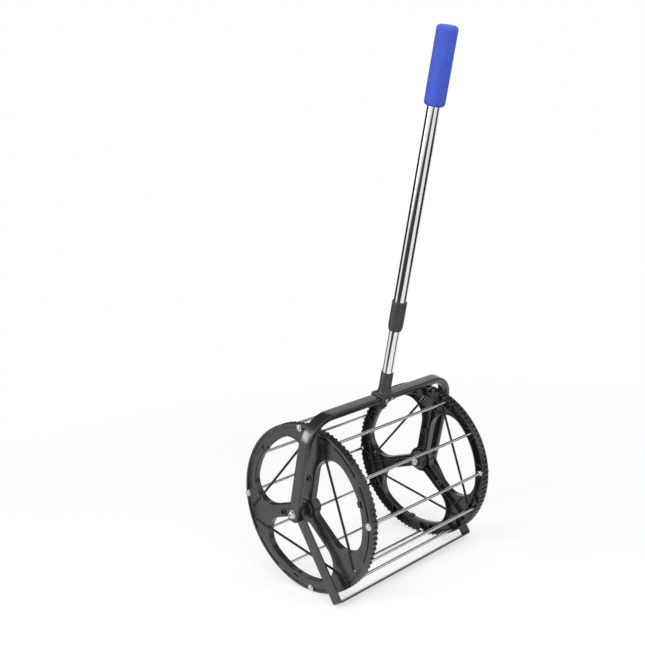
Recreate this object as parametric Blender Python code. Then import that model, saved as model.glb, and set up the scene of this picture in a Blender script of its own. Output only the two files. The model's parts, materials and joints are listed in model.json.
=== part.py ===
"""Tennis ball roller collector: a rolling cage drum in a yoke, with a fold-out stand and a telescopic pole.

Metres, +Z up. The drum turns about a line along X, and the front is -Y. The origin is on the floor, in the
middle of the whole object's outline.
"""

import math

import bmesh
import bpy
from mathutils import Matrix, Vector

# Clearances
GAP = 0.0003                  # between pieces that touch
STAND_REACH_GAP = 0.0015      # between the stand's reach and the yoke's cross bar

# Drum
ROD_COUNT = 12
ROD_CIRCLE_RADIUS = 0.134
ROD_DIAMETER = 0.005
ROD_BOSS_RADIUS = 0.004       # the wheels' bosses reach out to the root of the teeth
TIE_ROD_EVERY = 3             # every third rod is screwed through both wheels
DRUM_WIDTH = 0.307            # over the outer faces of the wheels

# Wheel moulding
TREAD_WIDTH = 0.015
FLANGE_WIDTH = 0.0035         # smooth band of the tread next to the outer face
TOOTH_COUNT = 96
TOOTH_DEPTH = 0.002
TOOTH_SHARE = 0.45            # part of each pitch that is tooth
RIM_WALL = 0.0012
FACE_THICKNESS = 0.003
RIM_BAND = 0.014              # from the rods' circle in to the windows
WINDOW_CORNER = 0.036
WINDOW_HUB_RADIUS = 0.022
WINDOW_HUB_CORNER = 0.006
WINDOW_WALL = 0.002
WINDOW_DEPTH = 0.012
SPOKE_WIDTH = 0.021
SPOKE_ANGLES = (15.0, 135.0, 255.0)
SPOKE_RIB = 0.0016
SPOKE_RIB_OFFSET = 0.0045
SPOKE_BOSS_POSITION = 0.0545
SPOKE_BOSS_OFFSET = -0.0025
SPOKE_BOSS_RADIUS = 0.0056
SPOKE_BOSS_BORE = 0.0040
RIB_THICKNESS = 0.0014
RIB_DEPTH = 0.010
CROSS_RIB_MARGIN = 0.020      # from the windows' rim in to the rib across a spoke
CROSS_RIB_HALF = 0.0205
RIM_RING_LIP = 0.0010         # the ring behind the face, inside and outside the windows' rim
RIM_RING_WALL = 0.0016
RIM_RIB_SPANS = ((0.09, 0.21), (0.79, 0.91))      # each rim rib's ends, in shares of the rods' pitch
ROD_BOSS_DEPTH = 0.0105
TIE_BOSS_DEPTH = 0.0155       # the tie rods' bosses stand a little out of the rim
ARC_SLOT_WIDTH = 0.0034
ARC_SLOT_DEPTH = 0.0018
ARC_SLOT_MARGIN = 3.0         # degrees between a rod and the end of the slot next to it
HUB_PROUD = 0.0032
HUB_RADIUS = 0.0165
HUB_REACH = 0.0225            # depth of the hub barrel behind the outer face
HUB_STEP = 0.0012
HUB_STEP_DEPTH = 0.0165
HUB_BORE = 0.0078
CLIP_WIDTH = 0.009
CLIP_REACH = 0.0085
CLIP_THICKNESS = 0.0024
CLIP_DEPTH = 0.0078
CLIP_SLOT_MARGIN = 0.0032     # from a window's rim out to the slot behind its clip
CLIP_SLOT_WIDTH = 0.0030

# Window cords
CORD_DIAMETER = 0.004
CORD_INSET = 0.0465           # from a window's rim in to the line of its cord
CORD_END_MARGIN = 0.007       # from a window's rim out to its cord's ends
CORD_LEVEL = 0.0018           # depth of a cord's middle behind the outer face
CORD_SLOT_WIDTH = 0.0052
CORD_SLOT_LENGTH = 0.055
KNOT_RADIUS = 0.0034
KNOT_LEVEL = 0.0086

# Pivots, from the hub outwards
BUSH_FLANGE = 0.0015
BUSH_FLANGE_RADIUS = 0.0110
SPACER_LENGTH = 0.0080
SPACER_RADIUS = 0.0070
FRICTION_WASHER = 0.0010
FRICTION_WASHER_RADIUS = 0.0095
BOLT_RADIUS = 0.0040
BOLT_HEAD_RADIUS = 0.0060
BOLT_HEAD_HEIGHT = 0.0040
PIVOT_WASHER_RADIUS = 0.0072
PIVOT_WASHER = 0.0012
NUT_RADIUS = 0.0075
NUT_HEIGHT = 0.0065
BOLT_TAIL = 0.0018

# Yoke and stand
YOKE_WIDTH = 0.020
YOKE_THICKNESS = 0.010
YOKE_EDGE = 0.0025
YOKE_BEND = 0.050             # outer radius of the two corners
YOKE_TAIL = 0.0130            # arm below the pivot
YOKE_TAIL_CORNER = 0.004
YOKE_LEAN = 15.9              # degrees to the front from upright
STAND_WIDTH = 0.020
STAND_THICKNESS = 0.003
STAND_BEND = 0.0045
STAND_SWEEP = 29.0            # degrees to the front from straight down

# Pole, each rise measured along it from the top of the yoke's cross bar
SOCKET_RISE = 0.0397
SOCKET_RADIUS = 0.0102
SOCKET_FOOT_RADIUS = 0.0125
SOCKET_FOOT_HEIGHT = 0.012
SADDLE_LENGTH = 0.034
SADDLE_WALL = 0.0027
SADDLE_SKIRT = 0.0085
SADDLE_TOP = 0.003
LOWER_TUBE_RADIUS = 0.0086
LOWER_TUBE_WALL = 0.0012
LOWER_TUBE_RISE = 0.3137
UPPER_TUBE_RADIUS = 0.0102
UPPER_TUBE_WALL = 0.0010
SLEEVE_RISE = 0.1132
SLEEVE_LENGTH = 0.050
SLEEVE_RADIUS = 0.0121
SLEEVE_STEP = 0.012           # the upper tube stands on a shoulder this far up the sleeve
GRIP_RISE = 0.4717
GRIP_LENGTH = 0.1165
GRIP_RADIUS = 0.0163
GRIP_END_ROUND = 0.006
GRIP_CLOSED_END = 0.005
HOLE_PITCH = 0.030
HOLE_COUNT = 3
HOLE_RADIUS = 0.0030
BUTTON_ABOVE_SLEEVE = 0.011
BUTTON_RADIUS = 0.0025
BUTTON_FLANGE_RADIUS = 0.0036
BUTTON_FLANGE = 0.0010
BUTTON_FLANGE_SEAT = 0.0030   # outer side of the flange from the pole's middle
BUTTON_TIP = 0.0003           # tip beyond the lower tube when pressed
SPRING_THICKNESS = 0.0006
SPRING_WIDTH = 0.0046
SPRING_LENGTH = 0.034
PLUG_HEAD = 0.004
PLUG_STEM = 0.012

# Small screws
RIM_SCREW_RADIUS = 0.0016
RIM_SCREW_HEAD_RADIUS = 0.0040
RIM_SCREW_HEAD_HEIGHT = 0.0026
RIM_SCREW_LENGTH = 0.0115
RIM_WASHER_RADIUS = 0.0055
RIM_WASHER = 0.0010
COLLAR_RADIUS = 0.0045
COLLAR_LENGTH = 0.0030
SADDLE_SCREW_RADIUS = 0.0015
SADDLE_SCREW_HEAD_RADIUS = 0.0027
SADDLE_SCREW_HEAD_HEIGHT = 0.0016
SADDLE_SCREW_LENGTH = 0.0065
SADDLE_SCREW_SPACING = 0.014
CROSS_BOLT_RADIUS = 0.0019
CROSS_BOLT_HEAD_RADIUS = 0.0036
CROSS_BOLT_HEAD_HEIGHT = 0.0022
CROSS_BOLT_RISE = 0.0237
SCREW_HOLE_GAP = 0.0004

MILLIMETRES = 1000.0          # in a metre

# Facets
ROUND = 20
PIVOT_ROUND = 16
SMALL_ROUND = 10
TINY_ROUND = 8
RIM_ROUND = 36

# Worked out from the sizes above
WHEEL_RADIUS = ROD_CIRCLE_RADIUS + ROD_BOSS_RADIUS + TOOTH_DEPTH
WINDOW_RADIUS = ROD_CIRCLE_RADIUS - RIM_BAND
RIM_RING_INNER = WINDOW_RADIUS - RIM_RING_LIP
RIM_RING_OUTER = WINDOW_RADIUS + RIM_RING_WALL
CORD_OFFSET = WINDOW_RADIUS - CORD_INSET
CORD_END_RADIUS = WINDOW_RADIUS + CORD_END_MARGIN
WHEEL_FACE = DRUM_WIDTH / 2
HUB_FACE = WHEEL_FACE + HUB_PROUD
BUSH_OUTER = HUB_FACE + GAP + BUSH_FLANGE
SPACER_INNER = BUSH_OUTER + GAP
SPACER_OUTER = SPACER_INNER + SPACER_LENGTH
WASHER_INNER = SPACER_OUTER + GAP
STAND_INNER = WASHER_INNER + FRICTION_WASHER + GAP
YOKE_INNER = STAND_INNER + STAND_THICKNESS + GAP
YOKE_OUTER = YOKE_INNER + YOKE_THICKNESS
SWEEP = math.radians(STAND_SWEEP)
LEAN = math.radians(YOKE_LEAN)
STAND_DEPTH = (WHEEL_RADIUS - STAND_WIDTH / 2 * math.sin(SWEEP)) / math.cos(SWEEP)
YOKE_UNDERSIDE = math.hypot(STAND_DEPTH, STAND_WIDTH / 2) + STAND_REACH_GAP
YOKE_TOP = YOKE_UNDERSIDE + YOKE_THICKNESS
SOCKET_TOP = YOKE_TOP + SOCKET_RISE
CROSS_BOLT_POSITION = YOKE_TOP + CROSS_BOLT_RISE
LOWER_TUBE_TOP = YOKE_TOP + LOWER_TUBE_RISE
SLEEVE_BOTTOM = YOKE_TOP + SLEEVE_RISE
SLEEVE_TOP = SLEEVE_BOTTOM + SLEEVE_LENGTH
GRIP_BOTTOM = YOKE_TOP + GRIP_RISE
GRIP_TOP = GRIP_BOTTOM + GRIP_LENGTH
UPPER_TUBE_BOTTOM = SLEEVE_BOTTOM + SLEEVE_STEP
UPPER_TUBE_TOP = GRIP_TOP - GRIP_CLOSED_END - GAP
BUTTON_HEIGHT = SLEEVE_TOP + BUTTON_ABOVE_SLEEVE
FRONT_REACH = ((GRIP_TOP - GRIP_END_ROUND) * math.sin(LEAN)
               + (GRIP_RADIUS - GRIP_END_ROUND) * math.cos(LEAN) + GRIP_END_ROUND)
AXIS = Vector((0.0, (FRONT_REACH - WHEEL_RADIUS) / 2, WHEEL_RADIUS))
WINDOW_ANGLES = tuple(angle + 60.0 for angle in SPOKE_ANGLES)

MATERIALS = {
    "black_moulding": ((0.028, 0.028, 0.031), 0.42, 0.0),
    "black_paint": ((0.030, 0.030, 0.033), 0.34, 0.0),
    "bright_steel": ((0.72, 0.72, 0.71), 0.16, 1.0),
    "zinc_steel": ((0.62, 0.61, 0.58), 0.28, 1.0),
    "spring_steel": ((0.42, 0.42, 0.42), 0.35, 1.0),
    "elastic": ((0.020, 0.020, 0.020), 0.80, 0.0),
    "nylon": ((0.060, 0.060, 0.062), 0.50, 0.0),
    "blue_foam": ((0.055, 0.105, 0.610), 0.85, 0.0),
}


def clear_scene():
    for item in list(bpy.data.objects):
        bpy.data.objects.remove(item, do_unlink=True)


def material(node, kind):
    colour, roughness, metallic = MATERIALS[kind]
    made = bpy.data.materials.new(node)
    made.use_nodes = True
    shader = made.node_tree.nodes["Principled BSDF"]
    shader.inputs["Base Color"].default_value = (*colour, 1.0)
    shader.inputs["Roughness"].default_value = roughness
    shader.inputs["Metallic"].default_value = metallic
    return made


def empty(name, location, tilt=0.0, parent=None):
    """A frame for the pieces that move or lean together; tilt turns about X, +Z towards the front."""
    frame = bpy.data.objects.new(name, None)
    frame.location = location
    frame.rotation_euler = (tilt, 0.0, 0.0)
    frame.parent = parent
    bpy.context.collection.objects.link(frame)
    return frame


def node(name, mesh, kind, parent, location=(0.0, 0.0, 0.0)):
    piece = bpy.data.objects.new(name, mesh)
    piece.location = location
    piece.parent = parent
    bpy.context.collection.objects.link(piece)
    piece.data.materials.clear()
    piece.data.materials.append(material(name, kind))
    piece.data.shade_smooth()
    piece.data.set_sharp_from_angle(angle=math.radians(32))
    return piece


def finish(shape, name):
    """Turns a bmesh into a mesh with its faces pointing out."""
    bmesh.ops.remove_doubles(shape, verts=shape.verts, dist=1e-6)
    bmesh.ops.recalc_face_normals(shape, faces=shape.faces)
    mesh = bpy.data.meshes.new(name)
    shape.to_mesh(mesh)
    shape.free()
    return mesh


def join(*meshes):
    """One mesh that holds several separate bodies."""
    shape = bmesh.new()
    for mesh in meshes:
        shape.from_mesh(mesh)
        bpy.data.meshes.remove(mesh)
    return finish(shape, "group")


def placed(mesh, matrix):
    mesh.transform(matrix)
    if matrix.determinant() < 0:
        mesh.flip_normals()
    return mesh


def combine(mesh, steps, solver="EXACT"):
    """Joins or cuts a mesh with others, one after the other: steps holds (operation, mesh) pairs.

    The work is done in millimetres, where Booleans of small details stay exact.
    """
    mesh.transform(Matrix.Scale(MILLIMETRES, 4))
    body = bpy.data.objects.new("body", mesh)
    bpy.context.collection.objects.link(body)
    tools = []
    for operation, tool_mesh in steps:
        tool_mesh.transform(Matrix.Scale(MILLIMETRES, 4))
        tool = bpy.data.objects.new("tool", tool_mesh)
        tool.hide_render = True
        tool.display_type = "WIRE"
        bpy.context.collection.objects.link(tool)
        modifier = body.modifiers.new(operation, "BOOLEAN")
        modifier.operation = operation
        modifier.solver = solver
        modifier.object = tool
        tools.append(tool)
    result = bpy.data.meshes.new_from_object(body.evaluated_get(bpy.context.evaluated_depsgraph_get()))
    for item in (body, *tools):
        spent = item.data
        bpy.data.objects.remove(item, do_unlink=True)
        bpy.data.meshes.remove(spent)
    result.transform(Matrix.Scale(1 / MILLIMETRES, 4))
    return result


def lathe(profile, segments=ROUND, axis="Z"):
    """A closed profile of (radius, height) points, turned once about Z or X."""
    shape = bmesh.new()
    corners = [shape.verts.new((radius, 0.0, height)) for radius, height in profile]
    outline = [shape.edges.new(pair) for pair in zip(corners, corners[1:] + corners[:1])]
    bmesh.ops.spin(shape, geom=corners + outline, cent=(0, 0, 0), axis=(0, 0, 1), angle=math.tau,
                   steps=segments, use_merge=True)
    bmesh.ops.dissolve_degenerate(shape, dist=1e-7, edges=shape.edges)
    if axis == "X":
        bmesh.ops.rotate(shape, verts=shape.verts, cent=(0, 0, 0), matrix=Matrix.Rotation(math.pi / 2, 3, "Y"))
    return finish(shape, "turned")


def disc(radius, low, high, segments=ROUND, axis="Z"):
    return lathe([(0.0, low), (radius, low), (radius, high), (0.0, high)], segments, axis)


def ring(inner, outer, low, high, segments=ROUND, axis="Z"):
    return lathe([(inner, low), (outer, low), (outer, high), (inner, high)], segments, axis)


def block(low, high):
    shape = bmesh.new()
    bmesh.ops.create_cube(shape, size=1.0)
    low, high = Vector(low), Vector(high)
    bmesh.ops.scale(shape, verts=shape.verts, vec=high - low)
    bmesh.ops.translate(shape, verts=shape.verts, vec=(low + high) / 2)
    return finish(shape, "block")


def on_wheel(radius, angle, depth=0.0):
    """A point of the wheel: angle in degrees from the top towards the front, depth behind the outer face."""
    turn = math.radians(angle)
    return Vector((depth, -radius * math.sin(turn), radius * math.cos(turn)))


def about_axis(angle):
    """Turns a shape that was made at the wheel's top round to an angle."""
    return Matrix.Rotation(math.radians(angle), 4, "X")


def plate(outline, low, high):
    """A flat outline of (front, up) points in the wheel's plane, given a thickness from low to high."""
    shape = bmesh.new()
    corners = [shape.verts.new((low, -front, up)) for front, up in outline]
    face = shape.faces.new(corners)
    moved = bmesh.ops.extrude_face_region(shape, geom=[face])["geom"]
    bmesh.ops.translate(shape, verts=[v for v in moved if isinstance(v, bmesh.types.BMVert)],
                        vec=(high - low, 0, 0))
    return finish(shape, "plate")


def arc(centre, radius, start, end, steps):
    """Points of an arc in the wheel's plane, its angles in degrees from up towards the front."""
    turns = [math.radians(start + (end - start) * step / steps) for step in range(steps + 1)]
    return [(centre[0] + radius * math.sin(turn), centre[1] + radius * math.cos(turn)) for turn in turns]


def polar(radius, angle):
    return radius * math.sin(math.radians(angle)), radius * math.cos(math.radians(angle))


def window_outline(grow=0.0):
    """One window, centred on up: two arcs about the axis, two spoke sides and four rounded corners."""
    rim = WINDOW_RADIUS + grow
    rim_corner = WINDOW_CORNER + grow
    hub = WINDOW_HUB_RADIUS - grow
    hub_corner = WINDOW_HUB_CORNER + grow
    side = SPOKE_WIDTH / 2 - grow
    rim_turn = 60.0 - math.degrees(math.asin((side + rim_corner) / (rim - rim_corner)))
    hub_turn = 60.0 - math.degrees(math.asin((side + hub_corner) / (hub + hub_corner)))
    half = arc((0, 0), rim, 0.0, rim_turn, 2)
    half += arc(polar(rim - rim_corner, rim_turn), rim_corner, rim_turn, 150.0, 4)[1:]
    half += arc(polar(hub + hub_corner, hub_turn), hub_corner, 150.0, 180.0 + hub_turn, 2)
    half += arc((0, 0), hub, hub_turn, 0.0, 1)[1:]
    return half + [(-front, up) for front, up in reversed(half[1:-1])]


def slot_outline(start, end, width):
    """A slot in the wheel's plane, open where it starts and round where it ends."""
    turn = math.degrees(math.atan2(end[0] - start[0], end[1] - start[1]))
    return arc(start, width / 2, turn + 90, turn + 270, 1) + arc(end, width / 2, turn - 90, turn + 90, 4)


def rim_ribs():
    """Thin ribs in the rim's channel, splayed on both sides of each rod's boss."""
    outer = WHEEL_RADIUS - TOOTH_DEPTH - RIM_WALL / 2
    inner = (RIM_RING_INNER + RIM_RING_OUTER) / 2
    pitch = 360.0 / ROD_COUNT
    ribs = []
    for rod in range(ROD_COUNT):
        for (start, end), (start_radius, end_radius) in zip(RIM_RIB_SPANS, ((outer, inner), (inner, outer))):
            first = Vector(polar(start_radius, (rod + start) * pitch))
            last = Vector(polar(end_radius, (rod + end) * pitch))
            side = (last - first).orthogonal().normalized() * RIB_THICKNESS / 2
            ribs.append(plate([first + side, last + side, last - side, first - side],
                              ARC_SLOT_DEPTH + GAP, RIB_DEPTH))
    return join(*ribs)


def spoke_ribs():
    """Along each spoke a rib from the hub to the rim."""
    ribs = []
    low = FACE_THICKNESS / 2
    for angle in SPOKE_ANGLES:
        long_rib = plate([(SPOKE_RIB_OFFSET - SPOKE_RIB / 2, HUB_RADIUS - HUB_STEP),
                          (SPOKE_RIB_OFFSET - SPOKE_RIB / 2, RIM_RING_INNER + SPOKE_RIB / 2),
                          (SPOKE_RIB_OFFSET + SPOKE_RIB / 2, RIM_RING_INNER + SPOKE_RIB / 2),
                          (SPOKE_RIB_OFFSET + SPOKE_RIB / 2, HUB_RADIUS - HUB_STEP)], low, RIB_DEPTH)
        ribs.append(placed(long_rib, about_axis(angle)))
    return join(*ribs)


def cross_ribs():
    """A rib across each spoke, where it widens to the rim."""
    low = WINDOW_RADIUS - CROSS_RIB_MARGIN
    high = low + RIB_THICKNESS
    half = CROSS_RIB_HALF
    ribs = [placed(plate([(-half, low), (-half, high), (half, high), (half, low)],
                         FACE_THICKNESS / 2, RIB_DEPTH - RIB_THICKNESS), about_axis(angle))
            for angle in SPOKE_ANGLES]
    return join(*ribs)


def at_spoke_boss(angle):
    return about_axis(angle) @ Matrix.Translation(
        (0, -SPOKE_BOSS_OFFSET, math.sqrt(SPOKE_BOSS_POSITION ** 2 - SPOKE_BOSS_OFFSET ** 2)))


def clip():
    """The hook in a window's rim that holds its cord aside: a base, and a lip turned to the outside."""
    top = WINDOW_RADIUS + WINDOW_WALL / 2
    low = WINDOW_RADIUS - CLIP_REACH
    half = CLIP_WIDTH / 2
    base = plate([(-half, low), (-half, top), (half, top), (half, low)],
                 CLIP_DEPTH - CLIP_THICKNESS, CLIP_DEPTH)
    lip = plate([(-half + GAP, low + GAP), (-half + GAP, low + CLIP_THICKNESS),
                 (half - GAP, low + CLIP_THICKNESS), (half - GAP, low + GAP)],
                GAP, CLIP_DEPTH - CLIP_THICKNESS / 2)
    return combine(base, [("UNION", lip)])


def cord_end(side):
    """Where a window's cord ends, for a window at the top: side is 1 or -1."""
    return side * math.sqrt(CORD_END_RADIUS ** 2 - CORD_OFFSET ** 2), CORD_OFFSET


def wheel_mesh():
    """The left wheel, its outer face at x = 0 and its open back towards +X."""
    pitch = 360.0 / TOOTH_COUNT
    corner_radius = WHEEL_RADIUS / math.cos(math.radians(pitch / 2))
    outline = [polar(corner_radius, (tooth + 0.5) * pitch) for tooth in range(TOOTH_COUNT)]
    blank = plate(outline, 0.0, TREAD_WIDTH)

    floor = WHEEL_RADIUS - TOOTH_DEPTH
    notch_half = math.radians(pitch) * floor * (1 - TOOTH_SHARE) / 2 - TOOTH_DEPTH * 0.12
    mouth_half = notch_half + TOOTH_DEPTH * 0.35
    notches = []
    for tooth in range(TOOTH_COUNT):
        notch = plate([(-notch_half, floor), (-mouth_half, floor + 2 * TOOTH_DEPTH),
                       (mouth_half, floor + 2 * TOOTH_DEPTH), (notch_half, floor)],
                      FLANGE_WIDTH, TREAD_WIDTH + TOOTH_DEPTH)
        notches.append(placed(notch, about_axis((tooth + 0.5) * pitch)))

    back = disc(floor - RIM_WALL, FACE_THICKNESS, TREAD_WIDTH + RIM_WALL, RIM_ROUND, "X")
    rim_ring = ring(RIM_RING_INNER, RIM_RING_OUTER, FACE_THICKNESS / 2, RIB_DEPTH + GAP, RIM_ROUND, "X")
    collars = join(*[placed(plate(window_outline(WINDOW_WALL), FACE_THICKNESS / 3, WINDOW_DEPTH),
                            about_axis(angle)) for angle in WINDOW_ANGLES])
    windows = join(*[placed(plate(window_outline(), -FACE_THICKNESS, WINDOW_DEPTH + FACE_THICKNESS),
                            about_axis(angle)) for angle in WINDOW_ANGLES])

    rod_angles = [360.0 / ROD_COUNT * rod for rod in range(ROD_COUNT)]
    bosses = []
    sockets = []
    for rod, angle in enumerate(rod_angles):
        spot = Matrix.Translation(on_wheel(ROD_CIRCLE_RADIUS, angle))
        depth = ROD_BOSS_DEPTH if rod % TIE_ROD_EVERY else TIE_BOSS_DEPTH
        bosses.append(placed(disc(ROD_BOSS_RADIUS, FACE_THICKNESS / 2, depth, SMALL_ROUND, "X"), spot))
        bore = disc(ROD_DIAMETER / 2 + GAP * 2, FACE_THICKNESS, depth + TOOTH_DEPTH, TINY_ROUND, "X")
        sockets.append(placed(bore, spot))
    screw_holes = [placed(disc(RIM_SCREW_RADIUS + SCREW_HOLE_GAP, -FACE_THICKNESS, FACE_THICKNESS * 1.5,
                               TINY_ROUND, "X"),
                          Matrix.Translation(on_wheel(ROD_CIRCLE_RADIUS, angle)))
                   for angle in rod_angles[::TIE_ROD_EVERY]]

    margin = ARC_SLOT_MARGIN
    arc_slots = []
    for angle in rod_angles:
        start, end = angle + margin, angle + 360.0 / ROD_COUNT - margin
        band = (arc((0, 0), ROD_CIRCLE_RADIUS + ARC_SLOT_WIDTH / 2, start, end, 3)
                + arc((0, 0), ROD_CIRCLE_RADIUS - ARC_SLOT_WIDTH / 2, end, start, 3))
        arc_slots.append(plate(band, -FACE_THICKNESS, ARC_SLOT_DEPTH))

    spoke_bosses = join(*[placed(disc(SPOKE_BOSS_RADIUS, FACE_THICKNESS / 2, WINDOW_DEPTH - GAP, TINY_ROUND, "X"),
                                 at_spoke_boss(angle)) for angle in SPOKE_ANGLES])
    spoke_holes = [placed(disc(SPOKE_BOSS_BORE, -FACE_THICKNESS, WINDOW_DEPTH + FACE_THICKNESS, TINY_ROUND, "X"),
                          at_spoke_boss(angle)) for angle in SPOKE_ANGLES]

    clips = join(*[placed(clip(), about_axis(angle)) for angle in WINDOW_ANGLES])
    near = WINDOW_RADIUS + CLIP_SLOT_MARGIN
    far = near + CLIP_SLOT_WIDTH
    half = CLIP_WIDTH / 2
    clip_slots = [placed(plate([(-half, near), (-half, far), (half, far), (half, near)],
                               -FACE_THICKNESS, FACE_THICKNESS * 1.4), about_axis(angle))
                  for angle in WINDOW_ANGLES]

    cord_slots = []
    for angle in WINDOW_ANGLES:
        for side in (1, -1):
            end = cord_end(side)
            start = (end[0] - side * CORD_SLOT_LENGTH, end[1])
            slot = plate(slot_outline(start, end, CORD_SLOT_WIDTH), -FACE_THICKNESS,
                         CORD_LEVEL + CORD_DIAMETER / 2 + GAP * 2)
            cord_slots.append(placed(slot, about_axis(angle)))

    hub = lathe([(HUB_BORE, -HUB_PROUD), (HUB_RADIUS - HUB_STEP, -HUB_PROUD), (HUB_RADIUS, -HUB_PROUD + HUB_STEP),
                 (HUB_RADIUS, HUB_STEP_DEPTH), (HUB_RADIUS - 2 * HUB_STEP, HUB_STEP_DEPTH),
                 (HUB_RADIUS - 2 * HUB_STEP, HUB_REACH), (HUB_BORE, HUB_REACH)], PIVOT_ROUND, "X")
    hub_hole = disc(HUB_BORE, -FACE_THICKNESS * 2, FACE_THICKNESS * 2, PIVOT_ROUND, "X")

    return combine(blank, [
        ("DIFFERENCE", join(*notches)),
        ("DIFFERENCE", back),
        ("DIFFERENCE", join(*arc_slots)),
        ("UNION", collars),
        ("UNION", rim_ring),
        ("UNION", rim_ribs()),
        ("UNION", spoke_ribs()),
        ("UNION", cross_ribs()),
        ("UNION", join(*bosses)),
        ("UNION", spoke_bosses),
        ("DIFFERENCE", hub_hole),
        ("UNION", hub),
        ("DIFFERENCE", windows),
        ("UNION", clips),
        ("DIFFERENCE", join(*sockets)),
        ("DIFFERENCE", join(*screw_holes, *spoke_holes)),
        ("DIFFERENCE", join(*clip_slots)),
        ("DIFFERENCE", join(*cord_slots)),
    ], solver="MANIFOLD")


def wheels(drum):
    left = wheel_mesh()
    right = placed(left.copy(), Matrix.Diagonal((-1, 1, 1, 1)))
    node("left_wheel", left, "black_moulding", drum, (-WHEEL_FACE, 0, 0))
    node("right_wheel", right, "black_moulding", drum, (WHEEL_FACE, 0, 0))


def rod_place(rod):
    return on_wheel(ROD_CIRCLE_RADIUS, 360.0 / ROD_COUNT * rod)


def tie_rod():
    """A rod with a collar against each wheel's boss, and a blind hole in each end for a rim screw."""
    radius = ROD_DIAMETER / 2
    bore = RIM_SCREW_RADIUS + GAP
    end = WHEEL_FACE - FACE_THICKNESS - GAP
    bottom = WHEEL_FACE - RIM_SCREW_LENGTH
    collar = WHEEL_FACE - TIE_BOSS_DEPTH - GAP
    half = [(0, bottom), (bore, bottom), (bore, end), (radius, end), (radius, collar), (COLLAR_RADIUS, collar),
            (COLLAR_RADIUS, collar - COLLAR_LENGTH), (radius, collar - COLLAR_LENGTH)]
    return lathe([(reach, -along) for reach, along in half] + half[::-1], TINY_ROUND, "X")


def rods(drum):
    """Twelve rods seated in the wheels' bosses; every third one ties the wheels together."""
    end = WHEEL_FACE - FACE_THICKNESS - GAP
    for rod in range(ROD_COUNT):
        name, mesh = f"cage_rod_{rod}", None
        if rod % TIE_ROD_EVERY:
            mesh = disc(ROD_DIAMETER / 2, -end, end, SMALL_ROUND, "X")
        else:
            name, mesh = f"tie_rod_{rod}", tie_rod()
        node(name, mesh, "bright_steel", drum, rod_place(rod))


def pan_head(radius, height, shank, length, segments=SMALL_ROUND):
    """A screw along Z, head up: its underside is at height 0."""
    return lathe([(0, -length), (shank, -length), (shank, 0), (radius, 0), (radius, height * 0.45),
                  (radius * 0.80, height * 0.85), (radius * 0.40, height), (0, height)], segments)


def outward(side, distance):
    """Carries a piece made along Z to the drum's axis, pointing out of the given side."""
    return Matrix.Translation((side * distance, 0, 0)) @ Matrix.Rotation(side * math.pi / 2, 4, "Y")


def rim_screws(drum):
    """The screws through the wheels into the tie rods, their heads made with a washer."""
    head, height = RIM_SCREW_HEAD_RADIUS, RIM_SCREW_HEAD_HEIGHT
    thread = RIM_SCREW_LENGTH - GAP * 2
    for name, side in (("left", -1), ("right", 1)):
        for rod in range(0, ROD_COUNT, TIE_ROD_EVERY):
            screw = lathe([(0, -thread), (RIM_SCREW_RADIUS, -thread), (RIM_SCREW_RADIUS, 0), (RIM_WASHER_RADIUS, 0),
                           (RIM_WASHER_RADIUS, RIM_WASHER), (head, RIM_WASHER), (head, RIM_WASHER + height * 0.5),
                           (head * 0.65, RIM_WASHER + height), (0, RIM_WASHER + height)], TINY_ROUND)
            spot = Matrix.Translation(rod_place(rod))
            node(f"{name}_rim_screw_{rod}", placed(screw, spot @ outward(side, WHEEL_FACE + GAP)),
                 "zinc_steel", drum)


def hub_bushes(drum):
    for name, side in (("left", -1), ("right", 1)):
        bore = BOLT_RADIUS + GAP
        barrel = HUB_BORE - GAP
        bush = lathe([(bore, -HUB_REACH - HUB_PROUD + GAP), (barrel, -HUB_REACH - HUB_PROUD + GAP), (barrel, GAP),
                      (BUSH_FLANGE_RADIUS, GAP), (BUSH_FLANGE_RADIUS, GAP + BUSH_FLANGE), (bore, GAP + BUSH_FLANGE)],
                     PIVOT_ROUND)
        node(f"{name}_hub_bush", placed(bush, outward(side, HUB_FACE)), "nylon", drum)


def cord_route(side_of_drum):
    """A window's cord, for a window at the top: along its slot, across the window and back behind the face."""
    end = cord_end(1)[0]
    dip = KNOT_LEVEL - CORD_LEVEL
    half = [Vector((0.0, CORD_LEVEL)), Vector((end - dip, CORD_LEVEL))]
    steps = 3
    for step in range(1, steps + 1):
        turn = math.pi / 2 * step / steps
        half.append(Vector((end - dip + dip * math.sin(turn) * 0.999,
                            CORD_LEVEL + dip * (1 - math.cos(turn)))))
    route = [Vector((-across, level)) for across, level in reversed(half[1:])] + half
    return [Vector((side_of_drum * (WHEEL_FACE - level), -across, CORD_OFFSET)) for across, level in route]


def window_cords(drum):
    """Three elastic cords on each wheel, with a knot behind the face at each end."""
    for name, side in (("left", -1), ("right", 1)):
        for number, angle in enumerate(WINDOW_ANGLES, 1):
            curve = bpy.data.curves.new("cord", "CURVE")
            curve.dimensions = "3D"
            curve.bevel_depth = CORD_DIAMETER / 2
            curve.bevel_resolution = 1
            curve.use_fill_caps = True
            route = cord_route(side)
            spline = curve.splines.new("POLY")
            spline.points.add(len(route) - 1)
            for point, place in zip(spline.points, route):
                point.co = (*place, 1.0)
            guide = bpy.data.objects.new("cord", curve)
            bpy.context.collection.objects.link(guide)
            tube = bpy.data.meshes.new_from_object(
                guide.evaluated_get(bpy.context.evaluated_depsgraph_get()))
            bpy.data.objects.remove(guide, do_unlink=True)
            knots = []
            for place in (route[0], route[-1]):
                shape = bmesh.new()
                bmesh.ops.create_icosphere(shape, subdivisions=1, radius=KNOT_RADIUS,
                                           matrix=Matrix.Translation(place))
                knots.append(("UNION", finish(shape, "knot")))
            cord = placed(combine(tube, knots), about_axis(angle))
            node(f"{name}_window_cord_{number}", cord, "elastic", drum)


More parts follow.
